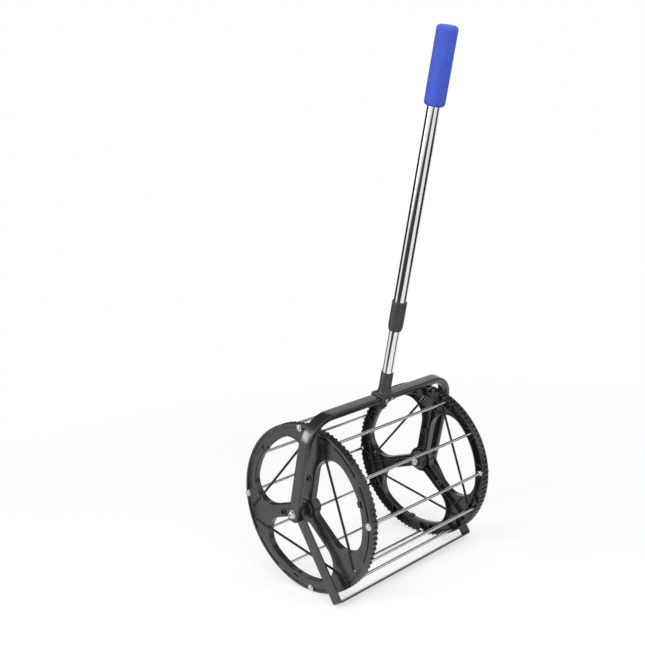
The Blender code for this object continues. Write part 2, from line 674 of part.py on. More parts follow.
def u_path(half_span, reach, bend, steps=5):
    """Middle line of a U that hangs from its bar: (x, z) points and outward normals, legs starting at z = 0."""
    path = [((-half_span, 0.0), (-1.0, 0.0))]
    for side, start in ((-1, 180.0), (1, 90.0)):
        for step in range(steps + 1):
            turn = math.radians(start - 90.0 * step / steps)
            normal = (math.cos(turn), math.sin(turn))
            path.append(((side * (half_span - bend) + bend * normal[0], reach - bend + bend * normal[1]), normal))
    path.append(((half_span, 0.0), (1.0, 0.0)))
    return path


def bar_section(width, thickness, edge, steps=2):
    """Half-width and half-thickness factors of a bar's section, its edges rounded."""
    points = []
    for sign_y, sign_n, start in ((1, 1, 0), (-1, 1, 90), (-1, -1, 180), (1, -1, 270)):
        for step in range(steps + 1) if edge else (0,):
            turn = math.radians(start + 90.0 * step / steps)
            points.append((sign_y * (width / 2 - edge) + edge * math.cos(turn),
                           sign_n * (thickness / 2 - edge) + edge * math.sin(turn)))
    return points


def swept_bar(path, section, width, tails):
    """Sweeps a section along a U; tails holds (drop, share of the width) pairs beyond each end of it."""
    first, last = path[0], path[-1]
    drops = [((first[0][0], -drop), first[1], share) for drop, share in reversed(tails)]
    rings = drops + [(point, normal, 1.0) for point, normal in path]
    rings += [((last[0][0], -drop), last[1], share) for drop, share in tails]
    shape = bmesh.new()
    loops = []
    for (x, z), (normal_x, normal_z), share in rings:
        loops.append([shape.verts.new((x + normal_x * n, y * share, z + normal_z * n)) for y, n in section])
    for loop, following in zip(loops, loops[1:]):
        for corner in range(len(section)):
            beside = (corner + 1) % len(section)
            shape.faces.new((loop[corner], loop[beside], following[beside], following[corner]))
    shape.faces.new(loops[0])
    shape.faces.new(loops[-1])
    return finish(shape, "bar")


def rounded_tail(width, tail, corner, steps=3):
    """Drops and width shares that give the end of a bar two rounded corners."""
    half = width / 2
    tails = []
    for step in range(steps + 1):
        turn = math.pi / 2 * step / steps
        share = (half - corner + corner * math.cos(turn)) / half
        tails.append((tail - corner + corner * math.sin(turn), max(share, 0.04)))
    return tails


def pivot_holes(radius):
    reach = YOKE_OUTER + YOKE_THICKNESS
    return join(*[disc(radius, side * (WHEEL_FACE + reach) / 2 - (reach - WHEEL_FACE) / 2,
                       side * (WHEEL_FACE + reach) / 2 + (reach - WHEEL_FACE) / 2, SMALL_ROUND, "X")
                  for side in (-1, 1)])


def saddle_screw_places():
    height = YOKE_TOP - YOKE_THICKNESS / 2
    return [Matrix.Translation((side * SADDLE_SCREW_SPACING / 2, 0, height)) @ Matrix.Rotation(math.pi / 2, 4, "X")
            for side in (-1, 1)]


def yoke(frame):
    path = u_path(YOKE_INNER + YOKE_THICKNESS / 2, YOKE_UNDERSIDE + YOKE_THICKNESS / 2,
                  YOKE_BEND - YOKE_THICKNESS / 2)
    section = bar_section(YOKE_WIDTH, YOKE_THICKNESS, YOKE_EDGE)
    bar = swept_bar(path, section, YOKE_WIDTH, rounded_tail(YOKE_WIDTH, YOKE_TAIL, YOKE_TAIL_CORNER))
    taps = [placed(disc(SADDLE_SCREW_RADIUS + SCREW_HOLE_GAP, YOKE_WIDTH / 2 - SADDLE_SCREW_LENGTH,
                        YOKE_WIDTH, SMALL_ROUND), place) for place in saddle_screw_places()]
    mesh = combine(bar, [("DIFFERENCE", pivot_holes(BOLT_RADIUS + GAP)), ("DIFFERENCE", join(*taps))])
    node("yoke", mesh, "black_paint", frame)


def stand(frame):
    path = u_path(STAND_INNER + STAND_THICKNESS / 2, STAND_DEPTH - STAND_THICKNESS / 2,
                  STAND_BEND - STAND_THICKNESS / 2)
    section = bar_section(STAND_WIDTH, STAND_THICKNESS, 0.0)
    bar = swept_bar(path, section, STAND_WIDTH, rounded_tail(STAND_WIDTH, STAND_WIDTH / 2, STAND_WIDTH / 2, 5))
    mesh = combine(bar, [("DIFFERENCE", pivot_holes(BOLT_RADIUS + GAP))])
    node("stand", placed(mesh, Matrix.Rotation(math.pi, 4, "X")), "black_paint", frame)


def pivots(frame):
    """What each pivot bolt carries, from its head on the arm to its nut inside the hub."""
    for name, side in (("left", -1), ("right", 1)):
        seat = YOKE_OUTER + GAP
        washer = ring(BOLT_RADIUS + GAP, PIVOT_WASHER_RADIUS, 0, PIVOT_WASHER, PIVOT_ROUND)
        node(f"{name}_pivot_washer", placed(washer, outward(side, seat)), "zinc_steel", frame)
        head_seat = seat + PIVOT_WASHER + GAP
        nut_outer = WHEEL_FACE - HUB_REACH - GAP
        nut_inner = nut_outer - NUT_HEIGHT
        bolt = pan_head(BOLT_HEAD_RADIUS, BOLT_HEAD_HEIGHT, BOLT_RADIUS, head_seat - nut_inner + BOLT_TAIL,
                        PIVOT_ROUND)
        node(f"{name}_pivot_bolt", placed(bolt, outward(side, head_seat)), "zinc_steel", frame)
        friction = ring(BOLT_RADIUS + GAP, FRICTION_WASHER_RADIUS, 0, FRICTION_WASHER, PIVOT_ROUND)
        node(f"{name}_friction_washer", placed(friction, outward(side, WASHER_INNER)), "nylon", frame)
        spacer = ring(BOLT_RADIUS + GAP, SPACER_RADIUS, 0, SPACER_LENGTH, PIVOT_ROUND)
        node(f"{name}_spacer", placed(spacer, outward(side, SPACER_INNER)), "black_moulding", frame)
        nut = combine(disc(NUT_RADIUS, 0, NUT_HEIGHT, 6),
                      [("DIFFERENCE", disc(BOLT_RADIUS + GAP, -NUT_HEIGHT, 2 * NUT_HEIGHT, PIVOT_ROUND))])
        node(f"{name}_pivot_nut", placed(nut, outward(side, nut_inner)), "zinc_steel", frame)


def tube_holes(radius, heights, low=0.0, high=None):
    """Cutters along +X through one wall of the pole, at the given heights."""
    high = UPPER_TUBE_RADIUS * 2 if high is None else high
    return join(*[placed(disc(radius, low, high, SMALL_ROUND, "X"), Matrix.Translation((0, 0, height)))
                  for height in heights])


def pole_socket(frame):
    """A saddle on the yoke's cross bar with the socket that holds the lower tube."""
    half = SADDLE_LENGTH / 2
    skin = YOKE_WIDTH / 2 + GAP + SADDLE_WALL
    saddle = bmesh.new()
    bmesh.ops.create_cube(saddle, size=1.0)
    low = YOKE_TOP - SADDLE_SKIRT
    high = YOKE_TOP + SADDLE_TOP
    bmesh.ops.scale(saddle, verts=saddle.verts, vec=(2 * half, 2 * skin, high - low))
    bmesh.ops.translate(saddle, verts=saddle.verts, vec=(0, 0, (high + low) / 2))
    upright = [edge for edge in saddle.edges if abs(edge.verts[0].co.z - edge.verts[1].co.z) > SADDLE_TOP]
    top = [edge for edge in saddle.edges if min(v.co.z for v in edge.verts) > YOKE_TOP]
    bmesh.ops.bevel(saddle, geom=upright + top, offset=SADDLE_WALL * 0.8, segments=2, profile=0.5,
                    affect="EDGES", material=-1)
    channel = block((-SADDLE_LENGTH, -YOKE_WIDTH / 2 - GAP, low - SADDLE_TOP),
                    (SADDLE_LENGTH, YOKE_WIDTH / 2 + GAP, YOKE_TOP + GAP))
    foot = YOKE_TOP + SADDLE_TOP / 2
    tube = lathe([(0, foot), (SOCKET_FOOT_RADIUS, foot), (SOCKET_FOOT_RADIUS, high),
                  (SOCKET_RADIUS + 0.0008, high + SOCKET_FOOT_HEIGHT * 0.4), (SOCKET_RADIUS, high + SOCKET_FOOT_HEIGHT),
                  (SOCKET_RADIUS, SOCKET_TOP - GAP * 3), (SOCKET_RADIUS - GAP * 3, SOCKET_TOP), (0, SOCKET_TOP)])
    bore = disc(LOWER_TUBE_RADIUS + GAP, YOKE_TOP + SADDLE_TOP, SOCKET_TOP + SADDLE_TOP)
    screws = [placed(disc(SADDLE_SCREW_RADIUS + SCREW_HOLE_GAP, YOKE_WIDTH / 4, YOKE_WIDTH, SMALL_ROUND), place)
              for place in saddle_screw_places()]
    cross = tube_holes(CROSS_BOLT_RADIUS + GAP, [CROSS_BOLT_POSITION])
    mesh = combine(finish(saddle, "saddle"), [
        ("DIFFERENCE", channel),
        ("UNION", tube),
        ("DIFFERENCE", bore),
        ("DIFFERENCE", join(*screws)),
        ("DIFFERENCE", cross),
    ])
    node("pole_socket", mesh, "black_moulding", frame)

    for name, place in zip(("left", "right"), saddle_screw_places()):
        screw = pan_head(SADDLE_SCREW_HEAD_RADIUS, SADDLE_SCREW_HEAD_HEIGHT, SADDLE_SCREW_RADIUS,
                         SADDLE_SCREW_LENGTH)
        node(f"{name}_saddle_screw", placed(screw, place @ Matrix.Translation((0, 0, skin + GAP))),
             "zinc_steel", frame)

    bolt = pan_head(CROSS_BOLT_HEAD_RADIUS, CROSS_BOLT_HEAD_HEIGHT, CROSS_BOLT_RADIUS,
                    SOCKET_RADIUS - LOWER_TUBE_RADIUS + LOWER_TUBE_WALL + 0.0025)
    spot = Matrix.Translation((0, 0, CROSS_BOLT_POSITION))
    node("socket_bolt", placed(bolt, spot @ outward(1, SOCKET_RADIUS + GAP)), "zinc_steel", frame)


def lower_tube(frame):
    bottom = YOKE_TOP + SADDLE_TOP + GAP
    tube = ring(LOWER_TUBE_RADIUS - LOWER_TUBE_WALL, LOWER_TUBE_RADIUS, bottom, LOWER_TUBE_TOP)
    mesh = combine(tube, [
        ("DIFFERENCE", tube_holes(CROSS_BOLT_RADIUS + GAP, [CROSS_BOLT_POSITION])),
        ("DIFFERENCE", tube_holes(BUTTON_RADIUS + GAP, [BUTTON_HEIGHT])),
    ])
    node("lower_tube", mesh, "bright_steel", frame)
    head = UPPER_TUBE_RADIUS - UPPER_TUBE_WALL - GAP
    stem = LOWER_TUBE_RADIUS - LOWER_TUBE_WALL - GAP
    start = LOWER_TUBE_TOP + GAP
    plug = lathe([(0, start - PLUG_STEM), (stem, start - PLUG_STEM), (stem, start), (head, start),
                  (head, start + PLUG_HEAD), (0, start + PLUG_HEAD)])
    node("lower_tube_plug", plug, "nylon", frame)


def button_spring(frame):
    """A hairpin of flat spring: one leg under the button, the other along the far wall of the tube."""
    inner = LOWER_TUBE_RADIUS - LOWER_TUBE_WALL
    seat = BUTTON_FLANGE_SEAT - BUTTON_FLANGE - GAP
    wall = -math.sqrt(inner ** 2 - (SPRING_WIDTH / 2) ** 2) + GAP
    top = BUTTON_HEIGHT + BUTTON_FLANGE_RADIUS
    bottom = BUTTON_HEIGHT - SPRING_LENGTH
    thick = SPRING_THICKNESS
    outline = [(seat, top), (seat - thick, top), (seat - thick, BUTTON_HEIGHT - 0.004),
               (-0.0016, bottom + 2 * thick), (-0.0034, bottom + thick), (wall + thick, bottom + 0.004),
               (wall + thick, top), (wall, top), (wall, bottom + 0.004), (-0.0037, bottom),
               (-0.0010, bottom + thick), (seat, BUTTON_HEIGHT - 0.0045)]
    shape = bmesh.new()
    corners = [shape.verts.new((x, -SPRING_WIDTH / 2, z)) for x, z in outline]
    moved = bmesh.ops.extrude_face_region(shape, geom=[shape.faces.new(corners)])["geom"]
    bmesh.ops.translate(shape, verts=[v for v in moved if isinstance(v, bmesh.types.BMVert)],
                        vec=(0, SPRING_WIDTH, 0))
    node("button_spring", finish(shape, "spring"), "spring_steel", frame)


def snap_button(frame):
    seat = BUTTON_FLANGE_SEAT
    tip = LOWER_TUBE_RADIUS + BUTTON_TIP
    button = lathe([(0, seat - BUTTON_FLANGE), (BUTTON_FLANGE_RADIUS, seat - BUTTON_FLANGE),
                    (BUTTON_FLANGE_RADIUS, seat), (BUTTON_RADIUS, seat), (BUTTON_RADIUS, tip - 0.0012),
                    (BUTTON_RADIUS * 0.7, tip - GAP), (0, tip)], ROUND, "X")
    node("snap_button", button, "zinc_steel", frame)


def upper_pole(frame):
    """The tube that slides on the lower one, with its sleeve, its plug and the foam grip."""
    inner = UPPER_TUBE_RADIUS - UPPER_TUBE_WALL
    tube = ring(inner, UPPER_TUBE_RADIUS, UPPER_TUBE_BOTTOM, UPPER_TUBE_TOP)
    holes = tube_holes(HOLE_RADIUS, [BUTTON_HEIGHT + HOLE_PITCH * hole for hole in range(HOLE_COUNT)])
    node("upper_tube", combine(tube, [("DIFFERENCE", holes)]), "bright_steel", frame)

    shoulder = UPPER_TUBE_BOTTOM - GAP
    running = LOWER_TUBE_RADIUS + GAP
    holding = UPPER_TUBE_RADIUS + GAP
    sleeve = lathe([(running, SLEEVE_BOTTOM), (SLEEVE_RADIUS * 0.80, SLEEVE_BOTTOM),
                    (SLEEVE_RADIUS * 0.93, SLEEVE_BOTTOM + 0.0035), (SLEEVE_RADIUS, SLEEVE_BOTTOM + 0.0095),
                    (SLEEVE_RADIUS, SLEEVE_TOP), (holding, SLEEVE_TOP), (holding, shoulder), (running, shoulder)])
    node("lock_sleeve", sleeve, "black_moulding", frame)

    stem = inner - GAP
    top = UPPER_TUBE_TOP - GAP
    plug = disc(stem, top - PLUG_STEM, top)
    node("upper_tube_plug", plug, "nylon", frame)

    corner = GRIP_END_ROUND
    lower_round = [(GRIP_RADIUS - corner + corner * math.sin(math.radians(turn)),
                    GRIP_BOTTOM + corner - corner * math.cos(math.radians(turn))) for turn in (0, 45, 90)]
    upper_round = [(GRIP_RADIUS - corner + corner * math.cos(math.radians(turn)),
                    GRIP_TOP - corner + corner * math.sin(math.radians(turn))) for turn in (0, 45, 90)]
    grip = lathe([(holding, GRIP_BOTTOM), *lower_round, *upper_round, (0, GRIP_TOP),
                  (0, GRIP_TOP - GRIP_CLOSED_END), (holding, GRIP_TOP - GRIP_CLOSED_END)])
    node("foam_grip", grip, "blue_foam", frame)


def build():
    clear_scene()
    drum = empty("drum_axis", AXIS)
    wheels(drum)
    rods(drum)
    rim_screws(drum)
    hub_bushes(drum)
    window_cords(drum)

    frame = empty("yoke_axis", AXIS, LEAN)
    yoke(frame)
    pivots(frame)
    pole_socket(frame)
    lower_tube(frame)
    button_spring(frame)

    stand(empty("stand_axis", AXIS, -SWEEP))
    snap_button(empty("button_axis", (0, 0, BUTTON_HEIGHT), 0.0, frame))
    upper_pole(empty("slide_axis", (0, 0, 0), 0.0, frame))


build()
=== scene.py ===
"""Looks of the tennis ball roller collector.

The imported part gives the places. This script dresses it: rounded mouldings, turned hardware, braided cords,
the foam grip, a finish for every surface, and a plain white studio.
"""

import json
import math

import bmesh
import bpy
from mathutils import Matrix, Vector

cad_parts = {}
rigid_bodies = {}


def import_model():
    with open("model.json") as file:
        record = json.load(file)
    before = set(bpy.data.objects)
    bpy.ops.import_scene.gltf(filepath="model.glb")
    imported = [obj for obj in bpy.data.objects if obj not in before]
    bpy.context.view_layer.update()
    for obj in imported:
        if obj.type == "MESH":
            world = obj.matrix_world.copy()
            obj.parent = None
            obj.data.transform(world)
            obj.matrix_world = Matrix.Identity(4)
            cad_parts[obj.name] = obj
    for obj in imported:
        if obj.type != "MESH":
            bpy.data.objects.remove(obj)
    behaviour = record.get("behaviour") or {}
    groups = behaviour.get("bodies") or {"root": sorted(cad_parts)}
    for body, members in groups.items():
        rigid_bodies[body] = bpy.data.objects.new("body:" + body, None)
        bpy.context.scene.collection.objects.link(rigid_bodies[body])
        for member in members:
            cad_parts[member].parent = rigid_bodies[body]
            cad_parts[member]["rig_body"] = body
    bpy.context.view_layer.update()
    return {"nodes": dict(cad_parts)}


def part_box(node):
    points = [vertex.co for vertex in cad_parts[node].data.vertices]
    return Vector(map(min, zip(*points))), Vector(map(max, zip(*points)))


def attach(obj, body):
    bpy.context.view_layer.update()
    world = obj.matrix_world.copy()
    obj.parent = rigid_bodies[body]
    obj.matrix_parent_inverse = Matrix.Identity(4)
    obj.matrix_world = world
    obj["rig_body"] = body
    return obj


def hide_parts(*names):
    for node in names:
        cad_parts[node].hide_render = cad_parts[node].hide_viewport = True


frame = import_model()

# Where things are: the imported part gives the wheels' place
HUB_PROUD = 0.0032
WHEEL_LOW, WHEEL_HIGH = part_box("left_wheel")
WHEEL_FACE = -WHEEL_LOW.x - HUB_PROUD
AXIS = Vector((0.0, (WHEEL_LOW.y + WHEEL_HIGH.y) / 2, (WHEEL_LOW.z + WHEEL_HIGH.z) / 2))

# Clearances
GAP = 0.0003                        # between pieces that touch
BORE_GAP = 0.0002                   # between a tube or bolt and a close bore round it

# Drum
ROD_COUNT = 12
ROD_PITCH = 360.0 / ROD_COUNT
TIE_ROD_EVERY = 3
ROD_CIRCLE_RADIUS = 0.134
ROD_RADIUS = 0.0025
ROD_END_CHAMFER = 0.0003
ROD_BOSS_RADIUS = 0.004
ROD_BOSS_PLAY = 0.0006
ROD_BOSS_DEPTH = 0.0105
TIE_BOSS_DEPTH = 0.0155
COLLAR_RADIUS = 0.0045
COLLAR_LENGTH = 0.003

# Wheel moulding
WHEEL_RADIUS = 0.140
FACE_THICKNESS = 0.003
FLANGE_WIDTH = 0.0035
TREAD_WIDTH = 0.015
TOOTH_COUNT = 96
TOOTH_DEPTH = 0.002
TOOTH_ROOT_WIDTH = 0.0047
TOOTH_TOP_WIDTH = 0.0036
TOOTH_ROUND = 0.00045
RIM_WALL = 0.0012
OUTER_ROUND = 0.0014
EDGE_ROUND = 0.0006
GROOVE_ROUND = 0.0004
WINDOW_RADIUS = 0.120
WINDOW_CORNER = 0.036
WINDOW_HUB_RADIUS = 0.022
WINDOW_HUB_CORNER = 0.006
WINDOW_WALL = 0.002
WINDOW_DEPTH = 0.012
SPOKE_WIDTH = 0.021
SPOKE_ANGLES = (15.0, 135.0, 255.0)
HALF_SPOKE_PITCH = 60.0
WINDOW_ANGLES = tuple(angle + HALF_SPOKE_PITCH for angle in SPOKE_ANGLES)
SPOKE_RIB = 0.0016
SPOKE_RIB_OFFSET = 0.0045
SPOKE_BOSS = (-0.0025, 0.05444)     # across and along the spoke
SPOKE_BOSS_RADIUS = 0.0056
SPOKE_BOSS_BORE = 0.0040
SPOKE_BOSS_PROUD = 0.0018
CROSS_RIB_HALF = 0.0205
CROSS_RIB_PLACE = 0.100
RIB_THICKNESS = 0.0014
RIB_DEPTH = 0.010
RIB_ROUND = 0.0003
RIM_RIB_SPANS = ((0.09, 0.21), (0.79, 0.91))        # each rim rib's ends, in shares of the rods' pitch
RIM_RING = (0.1190, 0.1216)
ARC_GROOVE_WIDTH = 0.0034
ARC_GROOVE_DEPTH = 0.0018
ARC_GROOVE_MARGIN = 3.0             # degrees between a rod and the groove's end
HUB_RADIUS = 0.0165
HUB_REACH = 0.0225
HUB_STEP = 0.0012
HUB_STEP_DEPTH = 0.0165
HUB_BORE = 0.0078
CLIP_WIDTH = 0.010
CLIP_REACH = 0.0030
CLIP_THICKNESS = 0.0024
CLIP_DEPTH = 0.0078
CLIP_ROUND = 0.0005
CLIP_LIP_LEVEL = 0.0003
CLIP_SLOT = (0.1228, 0.1272)
CLIP_SLOT_DEPTH = 0.0025

# Window cords
CORD_RADIUS = 0.0020
CORD_OFFSET = 0.0735
CORD_END_RADIUS = 0.127
CORD_HALF = math.sqrt(CORD_END_RADIUS ** 2 - CORD_OFFSET ** 2)      # from a cord's middle to its knot
CORD_LEVEL = 0.0018
CORD_SLOT_WIDTH = 0.0052
CORD_SLOT_DEPTH = 0.0044
CORD_TURN = 0.0024
CORD_BITE = 0.0012                  # how far the cord is pulled into its slot's end
KNOT_RADIUS = 0.0034
KNOT_LEVEL = 0.0060
KNOT_CORE = 0.72                    # this and the next two in shares of the knot's radius
KNOT_STRAND = 0.36
KNOT_COIL = 0.62
KNOT_COILS = ((0.275, 25.0), (-0.275, -20.0))       # each one's lift, as such a share, and its tilt
BRAID_PITCH = 0.0032
BRAID_STRANDS = 6.0

# Pivots
BOLT_RADIUS = 0.0040
WASHER_ROUND = 0.0003
FRICTION_WASHER_ROUND = 0.0002
SPACER_ROUND = 0.0006
NUT_ROUND = 0.0005
NUT_CORNER_GAP = 0.0001
BUSH_RADIUS = 0.0075
BUSH_FLANGE_RADIUS = 0.0110
BUSH_FLANGE = 0.0015
BUSH_ROUND = 0.0003

# Screws, and the turns in degrees that the driver left them at
RIM_SCREW = {"head_radius": 0.0040, "head_height": 0.0026, "shank": 0.0016, "washer_radius": 0.0055,
             "washer": 0.0010}
RIM_SCREW_TURN = 17.0
RIM_SCREW_NEXT_TURN = 31.0
SADDLE_SCREW = {"head_radius": 0.0027, "head_height": 0.0016, "shank": 0.0015, "length": 0.0065}
SADDLE_SCREW_TURN = 40.0
SADDLE_SCREW_OFFSET = 0.007
SOCKET_BOLT = {"head_radius": 0.0036, "head_height": 0.0022, "shank": 0.0019}
SOCKET_BOLT_TURN = 12.0
PIVOT_BOLT_TURN = 24.0
THREAD_PITCH = 0.0005

# Shares of a screw's own sizes
HEAD_FLAT = 0.55
HEAD_RIM = 0.25
RECESS_DEPTH = 0.55
RECESS_ARM = 0.52
RECESS_SLIM = 0.27
RECESS_TAPER = 0.6
THREAD_ROOT = 0.86
THREAD_POINT = 0.8
WASHER_BORE = 0.9
WASHER_SOFT = 0.25

# Yoke and stand
YOKE_LEAN = math.radians(15.9)
YOKE_WIDTH = 0.020
YOKE_THICKNESS = 0.010
YOKE_EDGE = 0.0025
YOKE_BEND = 0.050
YOKE_TAIL = 0.0130
YOKE_TAIL_CORNER = 0.004
STAND_SWEEP = math.radians(29.0)
STAND_WIDTH = 0.020
STAND_THICKNESS = 0.003
STAND_EDGE = 0.0007
STAND_BEND = 0.0045
STAND_REACH_GAP = 0.0015            # between the stand's reach and the yoke's cross bar
NARROWEST_END = 0.02                # share of a bar's width that its rounded end comes down to

# Pole, each rise measured along it from the top of the yoke's cross bar
SOCKET_RISE = 0.0397
SOCKET_RADIUS = 0.0102
SOCKET_LIP = 0.0008
SOCKET_FOOT_HEIGHT = 0.012
SOCKET_FOOT_RADIUS = 0.0125
SOCKET_FOOT_SUNK = 0.002            # how deep the foot stands in the saddle's top
SOCKET_BOLT_RISE = 0.0237
SADDLE_LENGTH = 0.034
SADDLE_INSIDE = 0.0206
SADDLE_WALL = 0.0027
SADDLE_SKIRT = 0.0085
SADDLE_TOP = 0.003
SADDLE_ROUND = 0.0012
SADDLE_GAP = 0.0001
LOWER_TUBE_START = 0.0033
LOWER_TUBE_RISE = 0.3137
LOWER_TUBE_RADIUS = 0.0086
LOWER_TUBE_WALL = 0.0012
UPPER_TUBE_RADIUS = 0.0102
UPPER_TUBE_WALL = 0.0010
TUBE_END_SOFT = 0.3                 # of the wall
HOLE_PITCH = 0.030
HOLE_COUNT = 3
HOLE_RADIUS = 0.0030
BUTTON_ABOVE_SLEEVE = 0.011
BUTTON_FLANGE_RADIUS = 0.0036
BUTTON_FLANGE = 0.001
BUTTON_DOME = ((0.0025, 0.0010), (0.0022, 0.0004), (0.0014, 0.0001))      # radius and depth below its tip
SLEEVE_RISE = 0.1132
SLEEVE_LENGTH = 0.050
SLEEVE_STEP = 0.012                 # the upper tube stands on a shoulder this far up the sleeve
SLEEVE_RADIUS = 0.0121
SLEEVE_MOUTH = 0.0007               # how far its lower end stands off the lower tube
SLEEVE_MOUTH_ROUND = (0.0002, 0.0004)               # across and up
SLEEVE_NOSE = 0.0130
SLEEVE_ROUND = 0.0006
SLEEVE_BORE_LEAD = 0.001
SLEEVE_GROOVE = (0.0065, 0.0054)    # its two sides, down from the sleeve's top
SLEEVE_GROOVE_SLOPE = 0.0003
SLEEVE_GROOVE_DEPTH = 0.00035
GRIP_RISE = 0.4717
GRIP_LENGTH = 0.1163
GRIP_RADIUS = 0.01615
GRIP_END_ROUND = 0.006
GRIP_CLOSED_END = 0.005
GRIP_LIP = ((0.0001, 0.0015), (0.0006, 0.0003))     # off the tube and up from the grip's lower end
GRIP_RINGS = 90
GRIP_RIPPLES = ((0.00004, 23.0, 0.0), (0.00003, 61.0, 1.0))         # half depth, rate and start
GRIP_CREASES = (0.68, 0.75)         # places, in shares of the grip's length between its round ends
GRIP_CREASE_DEPTH = 0.00030
GRIP_CREASE_WIDTH = 0.012

# Steps round a full turn
FINE = 96
ROUND = 48
SMALL = 32
COARSE = 16
STRAND = 12

# Steps along one stretch of an outline, a bend or a round end
WINDOW_RIM_STEPS = 24
WINDOW_CORNER_STEPS = 10
HUB_CORNER_STEPS = 8
HUB_ARC_STEPS = 6
GROOVE_STEPS = 14
CORD_STEPS = 24
CORD_TURN_STEPS = 6
KNOT_STEPS = 24
DOME_STEPS = 6
NOSE_STEPS = 10
END_STEPS = 8
YOKE_BEND_STEPS = 20
STAND_BEND_STEPS = 10

# Tolerances
SAME_PLACE = 1e-6
NO_LENGTH = 1e-7
SMOOTH_BELOW = math.radians(35)
SHARP_ABOVE = math.radians(30)

# Worked out from these, the heights along the pole from the drum's axis
STAND_REACH = (WHEEL_RADIUS - STAND_WIDTH / 2 * math.sin(STAND_SWEEP)) / math.cos(STAND_SWEEP)
YOKE_TOP = math.hypot(STAND_REACH, STAND_WIDTH / 2) + STAND_REACH_GAP + YOKE_THICKNESS
SOCKET_TOP = YOKE_TOP + SOCKET_RISE
LOWER_TUBE_BOTTOM = YOKE_TOP + LOWER_TUBE_START
LOWER_TUBE_TOP = YOKE_TOP + LOWER_TUBE_RISE
SLEEVE_BOTTOM = YOKE_TOP + SLEEVE_RISE
SLEEVE_TOP = SLEEVE_BOTTOM + SLEEVE_LENGTH
SLEEVE_SHOULDER = SLEEVE_BOTTOM + SLEEVE_STEP
BUTTON_HEIGHT = SLEEVE_TOP + BUTTON_ABOVE_SLEEVE
GRIP_BOTTOM = YOKE_TOP + GRIP_RISE
GRIP_TOP = GRIP_BOTTOM + GRIP_LENGTH
UP_POLE = Matrix.Translation(AXIS) @ Matrix.Rotation(YOKE_LEAN, 4, "X")
DOWN_POLE = UP_POLE @ Matrix.Rotation(math.pi / 2, 4, "Y")          # for what is turned about X


def quarter_turn(steps, first=0):
    """Sine and cosine at each step of a quarter turn."""
    turns = [math.pi / 2 * step / steps for step in range(first, steps + 1)]
    return [(math.sin(turn), math.cos(turn)) for turn in turns]


def rounded_step(radius, steps=3):
    """How far a rounded edge has come in from the side and down from the face, step by step."""
    return [(radius * (1 - sine), radius * (1 - cosine)) for sine, cosine in quarter_turn(steps)]


def in_wheel(front, up, depth=0.0):
    """A point of the left wheel before it is placed: depth is behind the outer face."""
    return Vector((depth, -front, up))


def polar(radius, angle):
    """(front, up) of a point on the wheel, its angle in degrees from the top towards the front."""
    return radius * math.sin(math.radians(angle)), radius * math.cos(math.radians(angle))


def about_axis(angle):
    return Matrix.Rotation(math.radians(angle), 4, "X")


def verts_in(geometry):
    """The verts among what an operator gives back."""
    return [item for item in geometry if isinstance(item, bmesh.types.BMVert)]


def edges_in(geometry):
    return [item for item in geometry if isinstance(item, bmesh.types.BMEdge)]


def verts_of(items):
    """The corners of some edges or faces."""
    return {vert for item in items for vert in item.verts}


def edges_at(verts):
    return {edge for vert in verts for edge in vert.link_edges}


def faces_at(verts):
    return {face for vert in verts for face in vert.link_faces}


def move(shape, matrix, verts=None):
    bmesh.ops.transform(shape, matrix=matrix, verts=list(verts or shape.verts))


def fill(shape, edges, normal):
    """Closes outlines with flat faces; an outline inside another stays a hole."""
    bmesh.ops.triangle_fill(shape, use_beauty=True, edges=edges, normal=normal)


def round_edges(shape, edges, radius, segments=2, clamp=False):
    return bmesh.ops.bevel(shape, geom=list(edges), offset=radius, segments=segments, profile=0.5,
                           affect="EDGES", clamp_overlap=clamp, material=-1)


def grow_ring(shape, edges, vec):
    """Extrudes a ring of edges and moves it; gives the new ring."""
    grown = bmesh.ops.extrude_edge_only(shape, edges=edges)["geom"]
    verts = set(verts_in(grown))
    bmesh.ops.translate(shape, verts=list(verts), vec=vec)
    return [edge for edge in edges_in(grown) if edge.verts[0] in verts and edge.verts[1] in verts]


def thicken(shape, vec):
    """Extrudes a flat shape along a vector."""
    grown = bmesh.ops.extrude_face_region(shape, geom=shape.faces[:])["geom"]
    bmesh.ops.translate(shape, verts=verts_in(grown), vec=vec)
    bmesh.ops.recalc_face_normals(shape, faces=shape.faces)


def add_mirrored(shape, axis):
    bmesh.ops.mirror(shape, geom=[*shape.verts, *shape.edges, *shape.faces], axis=axis, merge_dist=SAME_PLACE)


def line_to(shape, corner, front, up):
    """Draws on from a corner of an outline to a point of the wheel's plane."""
    drawn = bmesh.ops.extrude_vert_indiv(shape, verts=[corner])["verts"][0]
    drawn.co = in_wheel(front, up, corner.co.x)
    return drawn


def turn_round(shape, corner, centre, angle, steps):
    """Draws on from a corner of an outline, round a centre of the wheel's plane."""
    swept = bmesh.ops.spin(shape, geom=[corner], cent=in_wheel(*centre), axis=(1, 0, 0),
                           angle=math.radians(angle), steps=steps)
    return verts_in(swept["geom_last"])[0]


def closed_outline(shape, first, depth, draw):
    """Draws an outline from its first point, joins its end to that and sets its depth; gives its edges."""
    before = set(shape.edges)
    start = shape.verts.new(in_wheel(*first))
    last = draw(start)
    bmesh.ops.pointmerge(shape, verts=[last, start], merge_co=start.co)
    drawn = [edge for edge in shape.edges if edge not in before]
    move(shape, Matrix.Translation((depth, 0, 0)), verts_of(drawn))
    return drawn


def circle_outline(shape, centre, radius, depth, steps):
    made = bmesh.ops.create_circle(shape, segments=steps, radius=radius,
                                   matrix=Matrix.Translation(in_wheel(*centre, depth))
                                   @ Matrix.Rotation(math.pi / 2, 4, "Y"))
    return list(edges_at(made["verts"]))


